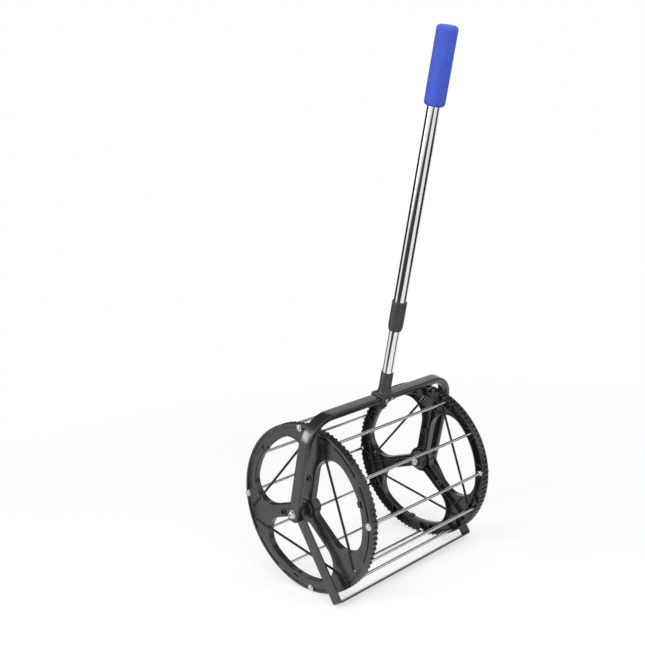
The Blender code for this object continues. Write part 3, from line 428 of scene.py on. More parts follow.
def window_outline(shape, grow, depth, with_cord_slot):
    """One window, centred on up: arcs about the axis, spoke sides, rounded corners, its cord's two slots."""
    rim = WINDOW_RADIUS + grow
    corner = WINDOW_CORNER + grow
    hub = WINDOW_HUB_RADIUS - grow
    hub_corner = WINDOW_HUB_CORNER + grow
    side = SPOKE_WIDTH / 2 - grow
    side_turn = 90.0 + HALF_SPOKE_PITCH
    rim_turn = HALF_SPOKE_PITCH - math.degrees(math.asin((side + corner) / (rim - corner)))
    hub_turn = HALF_SPOKE_PITCH - math.degrees(math.asin((side + hub_corner) / (hub + hub_corner)))
    hub_sweep = 90.0 - HALF_SPOKE_PITCH + hub_turn
    half_slot = CORD_SLOT_WIDTH / 2 + grow
    slot_end = CORD_HALF - CORD_BITE

    def corner_at(angle, hand):
        centre = polar(rim - corner, rim_turn * hand)
        away = polar(corner, angle * hand)
        return centre[0] + away[0], centre[1] + away[1]

    def slot_angle(height):
        return math.degrees(math.acos((height - polar(rim - corner, rim_turn)[1]) / corner))

    def draw(start):
        at = turn_round(shape, start, (0, 0), 2 * rim_turn, WINDOW_RIM_STEPS)
        for hand in (1, -1):
            middle = polar(rim - corner, rim_turn * hand)
            hub_middle = polar(hub + hub_corner, hub_turn * hand)
            first, last = slot_angle(CORD_OFFSET + half_slot), slot_angle(CORD_OFFSET - half_slot)
            spans = [(rim_turn, first), (last, side_turn)]
            edges = [CORD_OFFSET + half_slot, CORD_OFFSET - half_slot]
            if hand < 0:
                at = turn_round(shape, at, hub_middle, hub_sweep, HUB_CORNER_STEPS)
                at = line_to(shape, at, *corner_at(side_turn, hand))
                spans = [(-side_turn, -last), (-first, -rim_turn)]
                edges.reverse()
            if with_cord_slot:
                at = turn_round(shape, at, middle, spans[0][1] - spans[0][0], WINDOW_CORNER_STEPS)
                at = line_to(shape, at, slot_end * hand, edges[0])
                at = turn_round(shape, at, (slot_end * hand, CORD_OFFSET), 180.0, WINDOW_CORNER_STEPS)
                at = line_to(shape, at, *corner_at(abs(spans[1][0]), hand))
                at = turn_round(shape, at, middle, spans[1][1] - spans[1][0], WINDOW_CORNER_STEPS)
            else:
                at = turn_round(shape, at, middle, side_turn - rim_turn, 2 * WINDOW_CORNER_STEPS)
            if hand > 0:
                away = polar(hub_corner, side_turn)
                at = line_to(shape, at, hub_middle[0] + away[0], hub_middle[1] + away[1])
                at = turn_round(shape, at, hub_middle, hub_sweep, HUB_CORNER_STEPS)
                at = turn_round(shape, at, (0, 0), -2 * hub_turn, HUB_ARC_STEPS)
        return at

    return closed_outline(shape, polar(rim, -rim_turn), depth, draw)


def band_outline(shape, radius, half_width, start, end, depth):
    """A groove's outline: a band about the wheel's axis between two angles."""
    def draw(first):
        at = turn_round(shape, first, (0, 0), end - start, GROOVE_STEPS)
        at = line_to(shape, at, *polar(radius - half_width, end))
        at = turn_round(shape, at, (0, 0), start - end, GROOVE_STEPS)
        return line_to(shape, at, *polar(radius + half_width, start))

    return closed_outline(shape, polar(radius + half_width, start), depth, draw)


def box_outline(shape, across, low, high, depth):
    """A small rectangle's outline at the wheel's top."""
    def draw(at):
        for front, up in ((across, high), (across, low), (-across, low), (-across, high)):
            at = line_to(shape, at, front, up)
        return at

    return closed_outline(shape, (-across, high), depth, draw)


def join_rings(shape, rings):
    """Walls between outlines that have as many points each."""
    for ring, following in zip(rings, rings[1:]):
        bmesh.ops.bridge_loops(shape, edges=ring + following)


def opening(shape, draw, angle, edge_round, back, floor=False):
    """A hole or blind groove in the wheel's face, its front edge rounded; gives its front and back rings."""
    rings = []
    for grow, depth in rounded_step(edge_round) + [(0.0, back)]:
        ring = draw(grow, depth)
        move(shape, about_axis(angle), verts_of(ring))
        rings.append(ring)
    join_rings(shape, rings)
    if floor:
        fill(shape, rings[-1], (-1, 0, 0))
    return rings[0], rings[-1]


def face_plate(shape):
    """The wheel's disc with its windows, cord slots, clip slots, screw holes and arc grooves."""
    fronts, backs = [], []

    def cut(draw, angle, edge_round, blind=None):
        back = FACE_THICKNESS if blind is None else blind
        front_ring, back_ring = opening(shape, draw, angle, edge_round, back, blind is not None)
        fronts.extend(front_ring)
        if blind is None:
            backs.extend(back_ring)

    def window(grow, depth):
        return window_outline(shape, grow, depth, True)

    def clip_slot(grow, depth):
        low, high = CLIP_SLOT
        return box_outline(shape, CLIP_WIDTH / 2 + grow, low - grow, high + grow, depth)

    def boss_bore(grow, depth):
        return circle_outline(shape, SPOKE_BOSS, SPOKE_BOSS_BORE + grow, depth, SMALL)

    def hub_seat(grow, depth):
        return circle_outline(shape, (0, 0), HUB_RADIUS - 2 * HUB_STEP + grow, depth, ROUND)

    def arc_groove(grow, depth):
        start = ARC_GROOVE_MARGIN - math.degrees(grow / ROD_CIRCLE_RADIUS)
        end = ROD_PITCH - ARC_GROOVE_MARGIN + math.degrees(grow / ROD_CIRCLE_RADIUS)
        return band_outline(shape, ROD_CIRCLE_RADIUS, ARC_GROOVE_WIDTH / 2 + grow, start, end, depth)

    for angle in WINDOW_ANGLES:
        cut(window, angle, EDGE_ROUND)
        cut(clip_slot, angle, GROOVE_ROUND, CLIP_SLOT_DEPTH)
    for angle in SPOKE_ANGLES:
        cut(boss_bore, angle, EDGE_ROUND)
    cut(hub_seat, 0.0, GROOVE_ROUND)
    for rod in range(ROD_COUNT):
        cut(arc_groove, rod * ROD_PITCH, GROOVE_ROUND, ARC_GROOVE_DEPTH)

    root = WHEEL_RADIUS - TOOTH_DEPTH
    edge = [(WHEEL_RADIUS - inward, depth) for inward, depth in rounded_step(OUTER_ROUND, 4)]
    edge += [(WHEEL_RADIUS, FLANGE_WIDTH - EDGE_ROUND / 2), (WHEEL_RADIUS - EDGE_ROUND / 2, FLANGE_WIDTH),
             (root - EDGE_ROUND, FLANGE_WIDTH), (root - EDGE_ROUND, FACE_THICKNESS)]
    rings = [circle_outline(shape, (0, 0), radius, depth, 2 * FINE) for radius, depth in edge]
    join_rings(shape, rings)
    fill(shape, fronts + rings[0], (-1, 0, 0))
    fill(shape, backs + rings[-1], (1, 0, 0))


def window_walls(shape):
    """The wall round each window, behind the face, let in where the cord crosses it."""
    inner_round = EDGE_ROUND / 2
    hair = EDGE_ROUND / 20
    front = FACE_THICKNESS - EDGE_ROUND
    places = [(WINDOW_WALL, front), (hair, front), (hair, WINDOW_DEPTH - inner_round),
              (inner_round, WINDOW_DEPTH), (WINDOW_WALL - inner_round, WINDOW_DEPTH),
              (WINDOW_WALL, WINDOW_DEPTH - inner_round)]
    reach = CORD_SLOT_WIDTH / 2
    for angle in WINDOW_ANGLES:
        rings = [window_outline(shape, grow, depth, False) for grow, depth in places]
        join_rings(shape, rings + rings[:1])
        made = {vert for ring in rings for vert in verts_of(ring)}
        for height in (CORD_OFFSET - reach - EDGE_ROUND, CORD_OFFSET - reach, CORD_OFFSET + reach,
                       CORD_OFFSET + reach + EDGE_ROUND):
            faces = faces_at(made)
            sliced = bmesh.ops.bisect_plane(
                shape, geom=[*faces, *{edge for face in faces for edge in face.edges}, *made],
                plane_co=(0, 0, height), plane_no=(0, 0, 1), dist=NO_LENGTH)
            made.update(verts_in(sliced["geom_cut"]))
        for vert in made:
            if vert.co.x < FACE_THICKNESS and abs(vert.co.z - CORD_OFFSET) < reach + EDGE_ROUND / 2:
                vert.co.x = CORD_SLOT_DEPTH
        move(shape, about_axis(angle), made)


def slab(shape, start, end, thickness, low, high, soft=RIB_ROUND):
    """A straight rib between two points of the wheel's plane, with softened edges."""
    start, end = Vector(start), Vector(end)
    run = end - start
    middle = (start + end) / 2
    made = bmesh.ops.create_cube(shape, size=1.0)["verts"]
    bmesh.ops.scale(shape, verts=made, vec=(high - low, thickness, run.length))
    turn = math.atan2(run.x, run.y)
    move(shape, Matrix.Translation(in_wheel(middle.x, middle.y, (low + high) / 2))
         @ Matrix.Rotation(turn, 4, "X"), made)
    return round_edges(shape, edges_at(made), soft)["verts"]


def spun(shape, profile, steps):
    """Spins a closed profile of (radius, depth) points about the wheel's axis."""
    corners = [shape.verts.new(in_wheel(0.0, radius, depth)) for radius, depth in profile]
    edges = [shape.edges.new(pair) for pair in zip(corners, corners[1:] + corners[:1])]
    bmesh.ops.spin(shape, geom=corners + edges, cent=(0, 0, 0), axis=(1, 0, 0), angle=math.tau, steps=steps,
                   use_merge=True)


def soften(shape, verts, radius):
    """Rounds the sharp edges among some verts."""
    sharp = [edge for edge in edges_at(verts)
             if len(edge.link_faces) == 2 and edge.calc_face_angle(0.0) > SHARP_ABOVE]
    round_edges(shape, sharp, radius, clamp=True)


def merge_doubles(shape):
    bmesh.ops.remove_doubles(shape, verts=shape.verts, dist=SAME_PLACE)
    bmesh.ops.dissolve_degenerate(shape, dist=NO_LENGTH, edges=shape.edges)


def as_mesh(shape, name):
    mesh = bpy.data.meshes.new(name)
    shape.to_mesh(mesh)
    shape.free()
    return mesh


def separate_shape(make):
    """A shape of its own, so that merging and rounding stay inside it."""
    shape = bmesh.new()
    make(shape)
    merge_doubles(shape)
    bmesh.ops.recalc_face_normals(shape, faces=shape.faces)
    return as_mesh(shape, "shape")


def gathered(*meshes):
    """Several closed shapes as one mesh."""
    shape = bmesh.new()
    for mesh in meshes:
        shape.from_mesh(mesh)
        bpy.data.meshes.remove(mesh)
    return as_mesh(shape, "gathered")


def placed_copy(mesh, matrix):
    made = mesh.copy()
    made.transform(matrix)
    if matrix.determinant() < 0:
        made.flip_normals()
    return made


def turned(profile, steps=ROUND, soft=0.0):
    """A closed profile of (radius, depth) points turned about X as a mesh, its sharp edges rounded."""
    def make(shape):
        spun(shape, profile, steps)
        merge_doubles(shape)
        if soft:
            bmesh.ops.recalc_face_normals(shape, faces=shape.faces)
            soften(shape, shape.verts, soft)

    return separate_shape(make)


def tread(shape):
    """The rim's wall with its teeth; each tooth stands on the root circle."""
    root = WHEEL_RADIUS - TOOTH_DEPTH
    inside = root - RIM_WALL
    soft = GROOVE_ROUND
    spun(shape, [(inside, FACE_THICKNESS / 2), (root, FACE_THICKNESS / 2), (root, TREAD_WIDTH - soft),
                 (root - soft, TREAD_WIDTH), (inside + soft, TREAD_WIDTH), (inside, TREAD_WIDTH - soft)],
         2 * FINE)
    low, high = FLANGE_WIDTH - EDGE_ROUND, TREAD_WIDTH - EDGE_ROUND / 3
    foot = root - RIM_WALL / 2
    tooth = bmesh.ops.create_cube(shape, size=1.0)["verts"]
    bmesh.ops.scale(shape, verts=tooth, vec=(high - low, TOOTH_ROOT_WIDTH, WHEEL_RADIUS - foot))
    bmesh.ops.translate(shape, verts=tooth, vec=((low + high) / 2, 0, (WHEEL_RADIUS + foot) / 2))
    top = [vert for vert in tooth if vert.co.z > root]
    bmesh.ops.scale(shape, verts=top, vec=(1, TOOTH_TOP_WIDTH / TOOTH_ROOT_WIDTH, 1))
    made = round_edges(shape, edges_at(top), TOOTH_ROUND)
    tooth = verts_of(made["faces"]) | {vert for vert in tooth if vert.is_valid}
    faces = faces_at(tooth)
    geometry = [*tooth, *faces, *{edge for face in faces for edge in face.edges}]
    pitch = math.tau / TOOTH_COUNT
    bmesh.ops.rotate(shape, verts=list(tooth), cent=(0, 0, 0), matrix=Matrix.Rotation(pitch / 2, 3, "X"))
    bmesh.ops.spin(shape, geom=geometry, cent=(0, 0, 0), axis=(1, 0, 0), angle=math.tau - pitch,
                   steps=TOOTH_COUNT - 1, use_duplicate=True)


def wheel_back(shape):
    """The ribs behind the face: two between each rod and the next, one along and one across each spoke."""
    outer = WHEEL_RADIUS - TOOTH_DEPTH - RIM_WALL / 2
    inner = sum(RIM_RING) / 2
    front = FACE_THICKNESS / 2
    for rod in range(ROD_COUNT):
        for (start, end), (first, last) in zip(RIM_RIB_SPANS, ((outer, inner), (inner, outer))):
            slab(shape, polar(first, (rod + start) * ROD_PITCH), polar(last, (rod + end) * ROD_PITCH),
                 RIB_THICKNESS, front, RIB_DEPTH)
    for angle in SPOKE_ANGLES:
        along = slab(shape, (SPOKE_RIB_OFFSET, HUB_RADIUS - HUB_STEP),
                     (SPOKE_RIB_OFFSET, RIM_RING[0] + SPOKE_RIB), SPOKE_RIB, front, RIB_DEPTH)
        across = slab(shape, (-CROSS_RIB_HALF, CROSS_RIB_PLACE), (CROSS_RIB_HALF, CROSS_RIB_PLACE),
                      RIB_THICKNESS, front, RIB_DEPTH - RIB_THICKNESS)
        move(shape, about_axis(angle), {*along, *across})


def rim_ring():
    """The ring that runs behind the face across the spokes, between the windows' walls."""
    soft = GROOVE_ROUND
    low, high = FACE_THICKNESS / 2, RIB_DEPTH + soft
    inner, outer = RIM_RING
    profile = [(inner, low), (outer, low), (outer, high - soft), (outer - soft, high), (inner + soft, high),
               (inner, high - soft)]
    return turned(profile, 2 * FINE)


def bored_boss(radius, bore, low, high):
    soft = GROOVE_ROUND
    return turned([(bore, low + soft), (bore + soft, low), (radius - soft, low), (radius, low + soft),
                   (radius, high - soft), (radius - soft, high), (bore + soft, high), (bore, high - soft)],
                  SMALL)


def wheel_bosses():
    """A boss for each rod, the tie rods' deeper, and one on each spoke."""
    bosses = []
    for rod in range(ROD_COUNT):
        depth = ROD_BOSS_DEPTH if rod % TIE_ROD_EVERY else TIE_BOSS_DEPTH
        boss = bored_boss(ROD_BOSS_RADIUS, ROD_RADIUS + ROD_BOSS_PLAY, FACE_THICKNESS / 2, depth)
        boss.transform(Matrix.Translation(in_wheel(*polar(ROD_CIRCLE_RADIUS, ROD_PITCH * rod))))
        bosses.append(boss)
    for angle in SPOKE_ANGLES:
        boss = bored_boss(SPOKE_BOSS_RADIUS, SPOKE_BOSS_BORE - EDGE_ROUND, -SPOKE_BOSS_PROUD,
                          WINDOW_DEPTH - GROOVE_ROUND)
        boss.transform(about_axis(angle) @ Matrix.Translation(in_wheel(*SPOKE_BOSS)))
        bosses.append(boss)
    return bosses


def clip(shape):
    """The hook that holds a window's cord aside: a base out of the wall and a lip turned outwards."""
    low = WINDOW_RADIUS - CLIP_REACH
    top = WINDOW_RADIUS + WINDOW_WALL / 2
    slab(shape, (0, low), (0, top), CLIP_WIDTH, CLIP_DEPTH - CLIP_THICKNESS, CLIP_DEPTH, CLIP_ROUND)
    slab(shape, (0, low), (0, low + CLIP_THICKNESS), CLIP_WIDTH - EDGE_ROUND, CLIP_LIP_LEVEL,
         CLIP_DEPTH - CLIP_THICKNESS / 2, CLIP_ROUND)


def hub():
    """The barrel that turns on the bush, proud of the face and stepped at the back."""
    step = HUB_STEP
    return turned([(HUB_BORE, -HUB_PROUD), (HUB_RADIUS - step, -HUB_PROUD), (HUB_RADIUS, -HUB_PROUD + step),
                   (HUB_RADIUS, HUB_STEP_DEPTH), (HUB_RADIUS - 2 * step, HUB_STEP_DEPTH),
                   (HUB_RADIUS - 2 * step, HUB_REACH), (HUB_BORE, HUB_REACH)], FINE, EDGE_ROUND / 2)


def wheel_mesh():
    """The left wheel, its outer face at x = 0 and its open back towards +X."""
    clips = [placed_copy(separate_shape(clip), about_axis(angle)) for angle in WINDOW_ANGLES]
    return gathered(separate_shape(face_plate), separate_shape(window_walls), separate_shape(tread),
                    separate_shape(wheel_back), rim_ring(), hub(), *clips, *wheel_bosses())


def add(tree, kind, **settings):
    """A material node; settings name its properties, and inputs is a dict of its sockets' values."""
    made = tree.nodes.new("ShaderNode" + kind)
    for socket, value in settings.pop("inputs", {}).items():
        made.inputs[socket].default_value = value
    for name, value in settings.items():
        setattr(made, name, value)
    return made


def new_finish(name, colour, roughness, metallic=0.0, **sockets):
    made = bpy.data.materials.new(name)
    made.use_nodes = True
    shader = made.node_tree.nodes["Principled BSDF"]
    shader.inputs["Base Color"].default_value = (*colour, 1.0)
    shader.inputs["Roughness"].default_value = roughness
    shader.inputs["Metallic"].default_value = metallic
    for socket, value in sockets.items():
        shader.inputs[socket.replace("_", " ")].default_value = value
    return made, made.node_tree, shader


def object_place(tree, scale=(1, 1, 1), rotation=(0, 0, 0)):
    """Object coordinates, stretched and turned."""
    place = add(tree, "TexCoord")
    mapping = add(tree, "Mapping", inputs={"Scale": scale, "Rotation": rotation})
    tree.links.new(place.outputs["Object"], mapping.inputs["Vector"])
    return mapping.outputs["Vector"]


def worked_out(tree, operation, *values):
    """What a Math node makes of sockets and plain numbers."""
    made = add(tree, "Math", operation=operation)
    for socket, value in zip(made.inputs, values):
        if isinstance(value, bpy.types.NodeSocket):
            tree.links.new(value, socket)
        else:
            socket.default_value = value
    return made.outputs["Value"]


def noise(tree, place, scale, detail=3.0, roughness=0.55):
    made = add(tree, "TexNoise", inputs={"Scale": scale, "Detail": detail, "Roughness": roughness})
    tree.links.new(place, made.inputs["Vector"])
    return made.outputs["Fac"]


def between(tree, amount, low, high, source=(0.3, 0.7)):
    """Brings a pattern into a range of values."""
    made = add(tree, "MapRange", inputs={"From Min": source[0], "From Max": source[1], "To Min": low,
                                         "To Max": high})
    tree.links.new(amount, made.inputs["Value"])
    return made.outputs["Result"]


def two_tones(tree, amount, dark, light, source=(0.35, 0.65)):
    ramp = add(tree, "ValToRGB")
    ramp.color_ramp.elements[0].position, ramp.color_ramp.elements[1].position = source
    ramp.color_ramp.elements[0].color = (*dark, 1.0)
    ramp.color_ramp.elements[1].color = (*light, 1.0)
    tree.links.new(amount, ramp.inputs["Fac"])
    return ramp.outputs["Color"]


def raise_surface(tree, shader, *layers):
    """Bump layers, coarse to fine: (pattern, strength, height in metres)."""
    below = None
    for pattern, strength, height in layers:
        bump = add(tree, "Bump", inputs={"Strength": strength, "Distance": height})
        tree.links.new(pattern, bump.inputs["Height"])
        if below:
            tree.links.new(below, bump.inputs["Normal"])
        below = bump.outputs["Normal"]
    tree.links.new(below, shader.inputs["Normal"])


def mottled(made, tree, shader, tint, tones, gloss, gloss_range, *bumps):
    """Uneven colour and gloss on a finish, from noise of a (scale, detail) each.

    Each bump is (scale, detail, strength, height in metres), coarse to fine.
    """
    place = object_place(tree)
    tree.links.new(two_tones(tree, noise(tree, place, *tint), *tones), shader.inputs["Base Color"])
    tree.links.new(between(tree, noise(tree, place, *gloss), *gloss_range), shader.inputs["Roughness"])
    if bumps:
        raise_surface(tree, shader, *[(noise(tree, place, scale, detail), strength, height)
                                      for scale, detail, strength, height in bumps])
    return made


def black_moulding():
    """Tough black plastic: a fine spark-eroded grain, slight sink marks and uneven gloss."""
    finish = new_finish("black_moulding", (0.022, 0.022, 0.025), 0.28, Specular_IOR_Level=0.75)
    return mottled(*finish, (34.0, 3.0), ((0.018, 0.018, 0.021), (0.027, 0.026, 0.030)), (90.0, 5.0),
                   (0.20, 0.36), (55.0, 3.0, 0.20, 0.0003), (1900.0, 2.0, 0.22, 0.00005))


def black_fitting():
    """The plastic of the socket, clamp sleeve and spacers: a coarser matt grain."""
    finish = new_finish("black_fitting", (0.046, 0.046, 0.049), 0.45)
    return mottled(*finish, (60.0, 3.0), ((0.040, 0.040, 0.043), (0.054, 0.053, 0.057)), (160.0, 4.0),
                   (0.38, 0.54), (1300.0, 2.0, 0.30, 0.00008))


def black_paint():
    """Baked black paint on steel: orange peel, with the gloss a little uneven."""
    finish = new_finish("black_paint", (0.022, 0.021, 0.025), 0.20, Specular_IOR_Level=0.75)
    return mottled(*finish, (22.0, 3.0), ((0.018, 0.017, 0.021), (0.027, 0.026, 0.030)), (140.0, 4.0),
                   (0.13, 0.26), (420.0, 1.0, 0.20, 0.00010), (2400.0, 2.0, 0.10, 0.00003))


def zinc_plate():
    """Zinc plating: pale, slightly warm in patches, with a frosted grain."""
    finish = new_finish("zinc_plate", (0.74, 0.72, 0.67), 0.26, 1.0)
    return mottled(*finish, (260.0, 4.0), ((0.60, 0.57, 0.50), (0.80, 0.79, 0.76)), (700.0, 4.0),
                   (0.18, 0.36), (1600.0, 2.0, 0.15, 0.00003))


def spring_steel():
    """Grey spring steel, a little mottled."""
    finish = new_finish("spring_steel", (0.42, 0.42, 0.43), 0.34, 1.0)
    return mottled(*finish, (300.0, 3.0), ((0.32, 0.31, 0.30), (0.46, 0.46, 0.47)), (500.0, 3.0),
                   (0.28, 0.42))


def nylon():
    """Black nylon of the bushes, washers and plugs: soft sheen and a faint grain."""
    finish = new_finish("nylon", (0.030, 0.030, 0.032), 0.48)
    return mottled(*finish, (120.0, 3.0), ((0.024, 0.024, 0.026), (0.036, 0.036, 0.038)), (400.0, 3.0),
                   (0.42, 0.56), (1500.0, 2.0, 0.2, 0.00004))


def drawn_steel(name, colour, low, high, stretch, turn=0.0):
    """Bright drawn steel: fine lines along its length; stretch is small in that direction."""
    made, tree, shader = new_finish(name, colour, (low + high) / 2, 1.0)
    lines = noise(tree, object_place(tree, stretch, (turn, 0, 0)), 1.0, 3.0, 0.6)
    clouds = noise(tree, object_place(tree), 60.0, 4.0)
    dark = tuple(value * 0.95 for value in colour)
    tree.links.new(two_tones(tree, clouds, dark, colour), shader.inputs["Base Color"])
    tree.links.new(between(tree, lines, low, high), shader.inputs["Roughness"])
    raise_surface(tree, shader, (lines, 0.10, 0.00003))
    return made


def braided_elastic():
    """The cords' woven cover: crossing diagonal strands on the cord's own wrap map, painted shade in the
    hollows.
    """
    made, tree, shader = new_finish("braided_elastic", (0.014, 0.014, 0.015), 0.72, Sheen_Weight=0.06,
                                    Sheen_Roughness=0.45)
    wrap = add(tree, "UVMap", uv_map="wrap")
    mapping = add(tree, "Mapping", inputs={"Scale": (BRAID_STRANDS, 1 / BRAID_PITCH, 1.0)})
    tree.links.new(wrap.outputs["UV"], mapping.inputs["Vector"])
    parts = add(tree, "SeparateXYZ")
    tree.links.new(mapping.outputs["Vector"], parts.inputs["Vector"])
    strands = []
    for slant in ("ADD", "SUBTRACT"):
        place = worked_out(tree, slant, parts.outputs["X"], parts.outputs["Y"])
        strands.append(worked_out(tree, "SINE", worked_out(tree, "MULTIPLY", place, math.tau)))
    weave = worked_out(tree, "MULTIPLY", *strands)
    # The colour is darker where the weave is low: painted shade in the hollows between strands.
    tint = two_tones(tree, between(tree, weave, 0, 1, (-1, 1)), (0.006, 0.006, 0.007), (0.020, 0.020, 0.021),
                     (0.2, 0.9))
    tree.links.new(tint, shader.inputs["Base Color"])
    raise_surface(tree, shader, (weave, 0.8, 0.00020),
                  (noise(tree, object_place(tree), 3000.0, 2.0), 0.2, 0.00005))
    return made


def blue_foam():
    """Closed-cell blue foam: pinholes, a soft bloom of light, faint rings where it was pushed on, painted
    shade in their dents.
    """
    made, tree, shader = new_finish("blue_foam", (0.065, 0.122, 0.66), 0.82, Sheen_Weight=0.05,
                                    Sheen_Roughness=0.6)
    place = object_place(tree)
    cells = add(tree, "TexVoronoi", feature="F1", inputs={"Scale": 950.0})
    tree.links.new(place, cells.inputs["Vector"])
    rings = noise(tree, object_place(tree, (2, 2, 70), (-YOKE_LEAN, 0, 0)), 1.0, 2.0)
    mottle = noise(tree, place, 190.0, 5.0)
    # The rings darken the colour where they sink: painted shade in their dents.
    mix = add(tree, "Mix", data_type="RGBA", blend_type="MULTIPLY", inputs={"Factor": 0.35})
    tree.links.new(two_tones(tree, mottle, (0.056, 0.108, 0.60), (0.074, 0.138, 0.72)), mix.inputs["A"])
    tree.links.new(two_tones(tree, rings, (0.80, 0.82, 0.88), (1.0, 1.0, 1.0)), mix.inputs["B"])
    tree.links.new(mix.outputs["Result"], shader.inputs["Base Color"])
    tree.links.new(between(tree, mottle, 0.74, 0.90), shader.inputs["Roughness"])
    raise_surface(tree, shader, (rings, 0.25, 0.0006), (cells.outputs["Distance"], 0.5, 0.00018),
                  (noise(tree, place, 1500.0, 2.0), 0.3, 0.0001))
    return made


MOULDING = black_moulding()
FITTING = black_fitting()
PAINT = black_paint()
ROD_STEEL = drawn_steel("rod_steel", (0.70, 0.70, 0.68), 0.14, 0.24, (6, 1500, 1500))
TUBE_STEEL = drawn_steel("tube_steel", (0.80, 0.79, 0.77), 0.08, 0.16, (1500, 1500, 6), -YOKE_LEAN)
ZINC = zinc_plate()
SPRING = spring_steel()
NYLON = nylon()
BRAID = braided_elastic()
FOAM = blue_foam()


def piece(name, mesh, finish, slot, *nodes):
    """Shows a finished mesh for the named nodes, on the body that these nodes ride on."""
    mesh.name = name
    mesh.materials.clear()
    mesh.materials.append(finish)
    mesh.shade_smooth()
    mesh.set_sharp_from_angle(angle=SMOOTH_BELOW)
    made = bpy.data.objects.new(name, mesh)
    bpy.context.collection.objects.link(made)
    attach(made, frame["nodes"][nodes[0]]["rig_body"])
    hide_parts(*nodes)
    return made


LEFT = Matrix.Translation((-WHEEL_FACE, AXIS.y, AXIS.z))
RIGHT = Matrix.Translation((WHEEL_FACE, AXIS.y, AXIS.z)) @ Matrix.Diagonal((-1, 1, 1, 1))
SIDES = {"left": LEFT, "right": RIGHT}


def dress_wheels():
    mesh = wheel_mesh()
    for side, place in SIDES.items():
        piece(f"wheel_{side}", placed_copy(mesh, place), MOULDING, "wheel_black", f"{side}_wheel")
    bpy.data.meshes.remove(mesh)


def dress_rods():
    """Polished rods, each third one with a collar against either wheel."""
    chamfer = ROD_END_CHAMFER
    for rod in range(ROD_COUNT):
        node = f"cage_rod_{rod}" if rod % TIE_ROD_EVERY else f"tie_rod_{rod}"
        low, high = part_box(node)
        end = high.x
        half = [(0, end), (ROD_RADIUS - chamfer, end), (ROD_RADIUS, end - chamfer)]
        if rod % TIE_ROD_EVERY == 0:
            seat = WHEEL_FACE - TIE_BOSS_DEPTH - chamfer
            back = seat - COLLAR_LENGTH
            half += [(ROD_RADIUS, seat), (COLLAR_RADIUS - chamfer, seat), (COLLAR_RADIUS, seat - chamfer),
                     (COLLAR_RADIUS, back + chamfer), (COLLAR_RADIUS - chamfer, back), (ROD_RADIUS, back)]
        rod_mesh = turned([(radius, -along) for radius, along in half] + half[::-1], SMALL)
        middle = (low + high) / 2
        rod_mesh.transform(Matrix.Translation((0, middle.y, middle.z)))
        piece(f"rod_{rod}", rod_mesh, ROD_STEEL, "bright_steel", node)


def cross_recess_head(shape, top, radius, height):
    """A domed screw head on X, its top at x = top facing -X, with a tapered cross recess."""
    seat = top + height
    flat = radius * HEAD_FLAT
    dome = [(radius, seat)]
    for sine, cosine in quarter_turn(DOME_STEPS):
        dome.append((flat + (radius - flat) * cosine, seat - height * (HEAD_RIM + (1 - HEAD_RIM) * sine)))
    rings = [circle_outline(shape, (0, 0), ring, level, SMALL) for ring, level in dome]
    join_rings(shape, rings)
    arm = radius * RECESS_ARM
    slim = arm * RECESS_SLIM
    corners = []
    for turn in range(4):
        for front, up in ((slim, arm), (slim, slim), (arm, slim)):
            spot = about_axis(90.0 * turn).to_3x3() @ in_wheel(front, up, top)
            corners.append(shape.verts.new(spot))
    mouth = [shape.edges.new(pair) for pair in zip(corners, corners[1:] + corners[:1])]
    fill(shape, mouth + rings[-1], (-1, 0, 0))
    floor = grow_ring(shape, mouth, (height * RECESS_DEPTH, 0, 0))
    bmesh.ops.scale(shape, verts=list(verts_of(floor)), vec=(1, RECESS_TAPER, RECESS_TAPER))
    fill(shape, floor, (-1, 0, 0))
    fill(shape, rings[0], (1, 0, 0))


def cross_screw(head_radius, head_height, shank, length, washer_radius=0.0, washer=0.0):
    """A pan head screw pointing along -X: the underside of its washer, or of its head, at x = 0."""
    parts = [separate_shape(lambda shape: cross_recess_head(shape, -washer - head_height, head_radius,
                                                            head_height))]
    if washer:
        bore = shank * WASHER_BORE
        parts.append(turned([(bore, -washer), (washer_radius, -washer), (washer_radius, 0), (bore, 0)], SMALL,
                            washer * WASHER_SOFT))
    plain = 2 * THREAD_PITCH
    thread = [(0, -washer / 2), (shank, -washer / 2)]
    for turn in range(int((length - plain) / THREAD_PITCH)):
        start = plain + turn * THREAD_PITCH
        thread += [(shank, start), (shank * THREAD_ROOT, start + THREAD_PITCH / 2)]
    thread += [(shank * THREAD_POINT, length), (0, length)]
    parts.append(turned(thread, COARSE))
    return gathered(*parts)


def dress_rim_screws():
    above_shank = RIM_SCREW["head_height"] + RIM_SCREW["washer"]
    for side, place in SIDES.items():
        for rod in range(0, ROD_COUNT, TIE_ROD_EVERY):
            node = f"{side}_rim_screw_{rod}"
            low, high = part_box(node)
            screw = cross_screw(**RIM_SCREW, length=high.x - low.x - above_shank)
            spot = Matrix.Translation(in_wheel(*polar(ROD_CIRCLE_RADIUS, ROD_PITCH * rod), -GAP))
            turn = about_axis(RIM_SCREW_TURN + RIM_SCREW_NEXT_TURN * rod)
            piece(f"rim_screw_{side}_{rod}", placed_copy(screw, place @ spot @ turn), ZINC, "zinc", node)


def pivot_ring(node, soft):
    """A plain turned ring round the pivot's bolt, in a node's own box."""
    low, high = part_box(node)
    bore, outer = BOLT_RADIUS + GAP, (high.z - low.z) / 2
    made = turned([(bore, low.x), (outer, low.x), (outer, high.x), (bore, high.x)], ROUND, soft)
    made.transform(Matrix.Translation((0, AXIS.y, AXIS.z)))
    return made


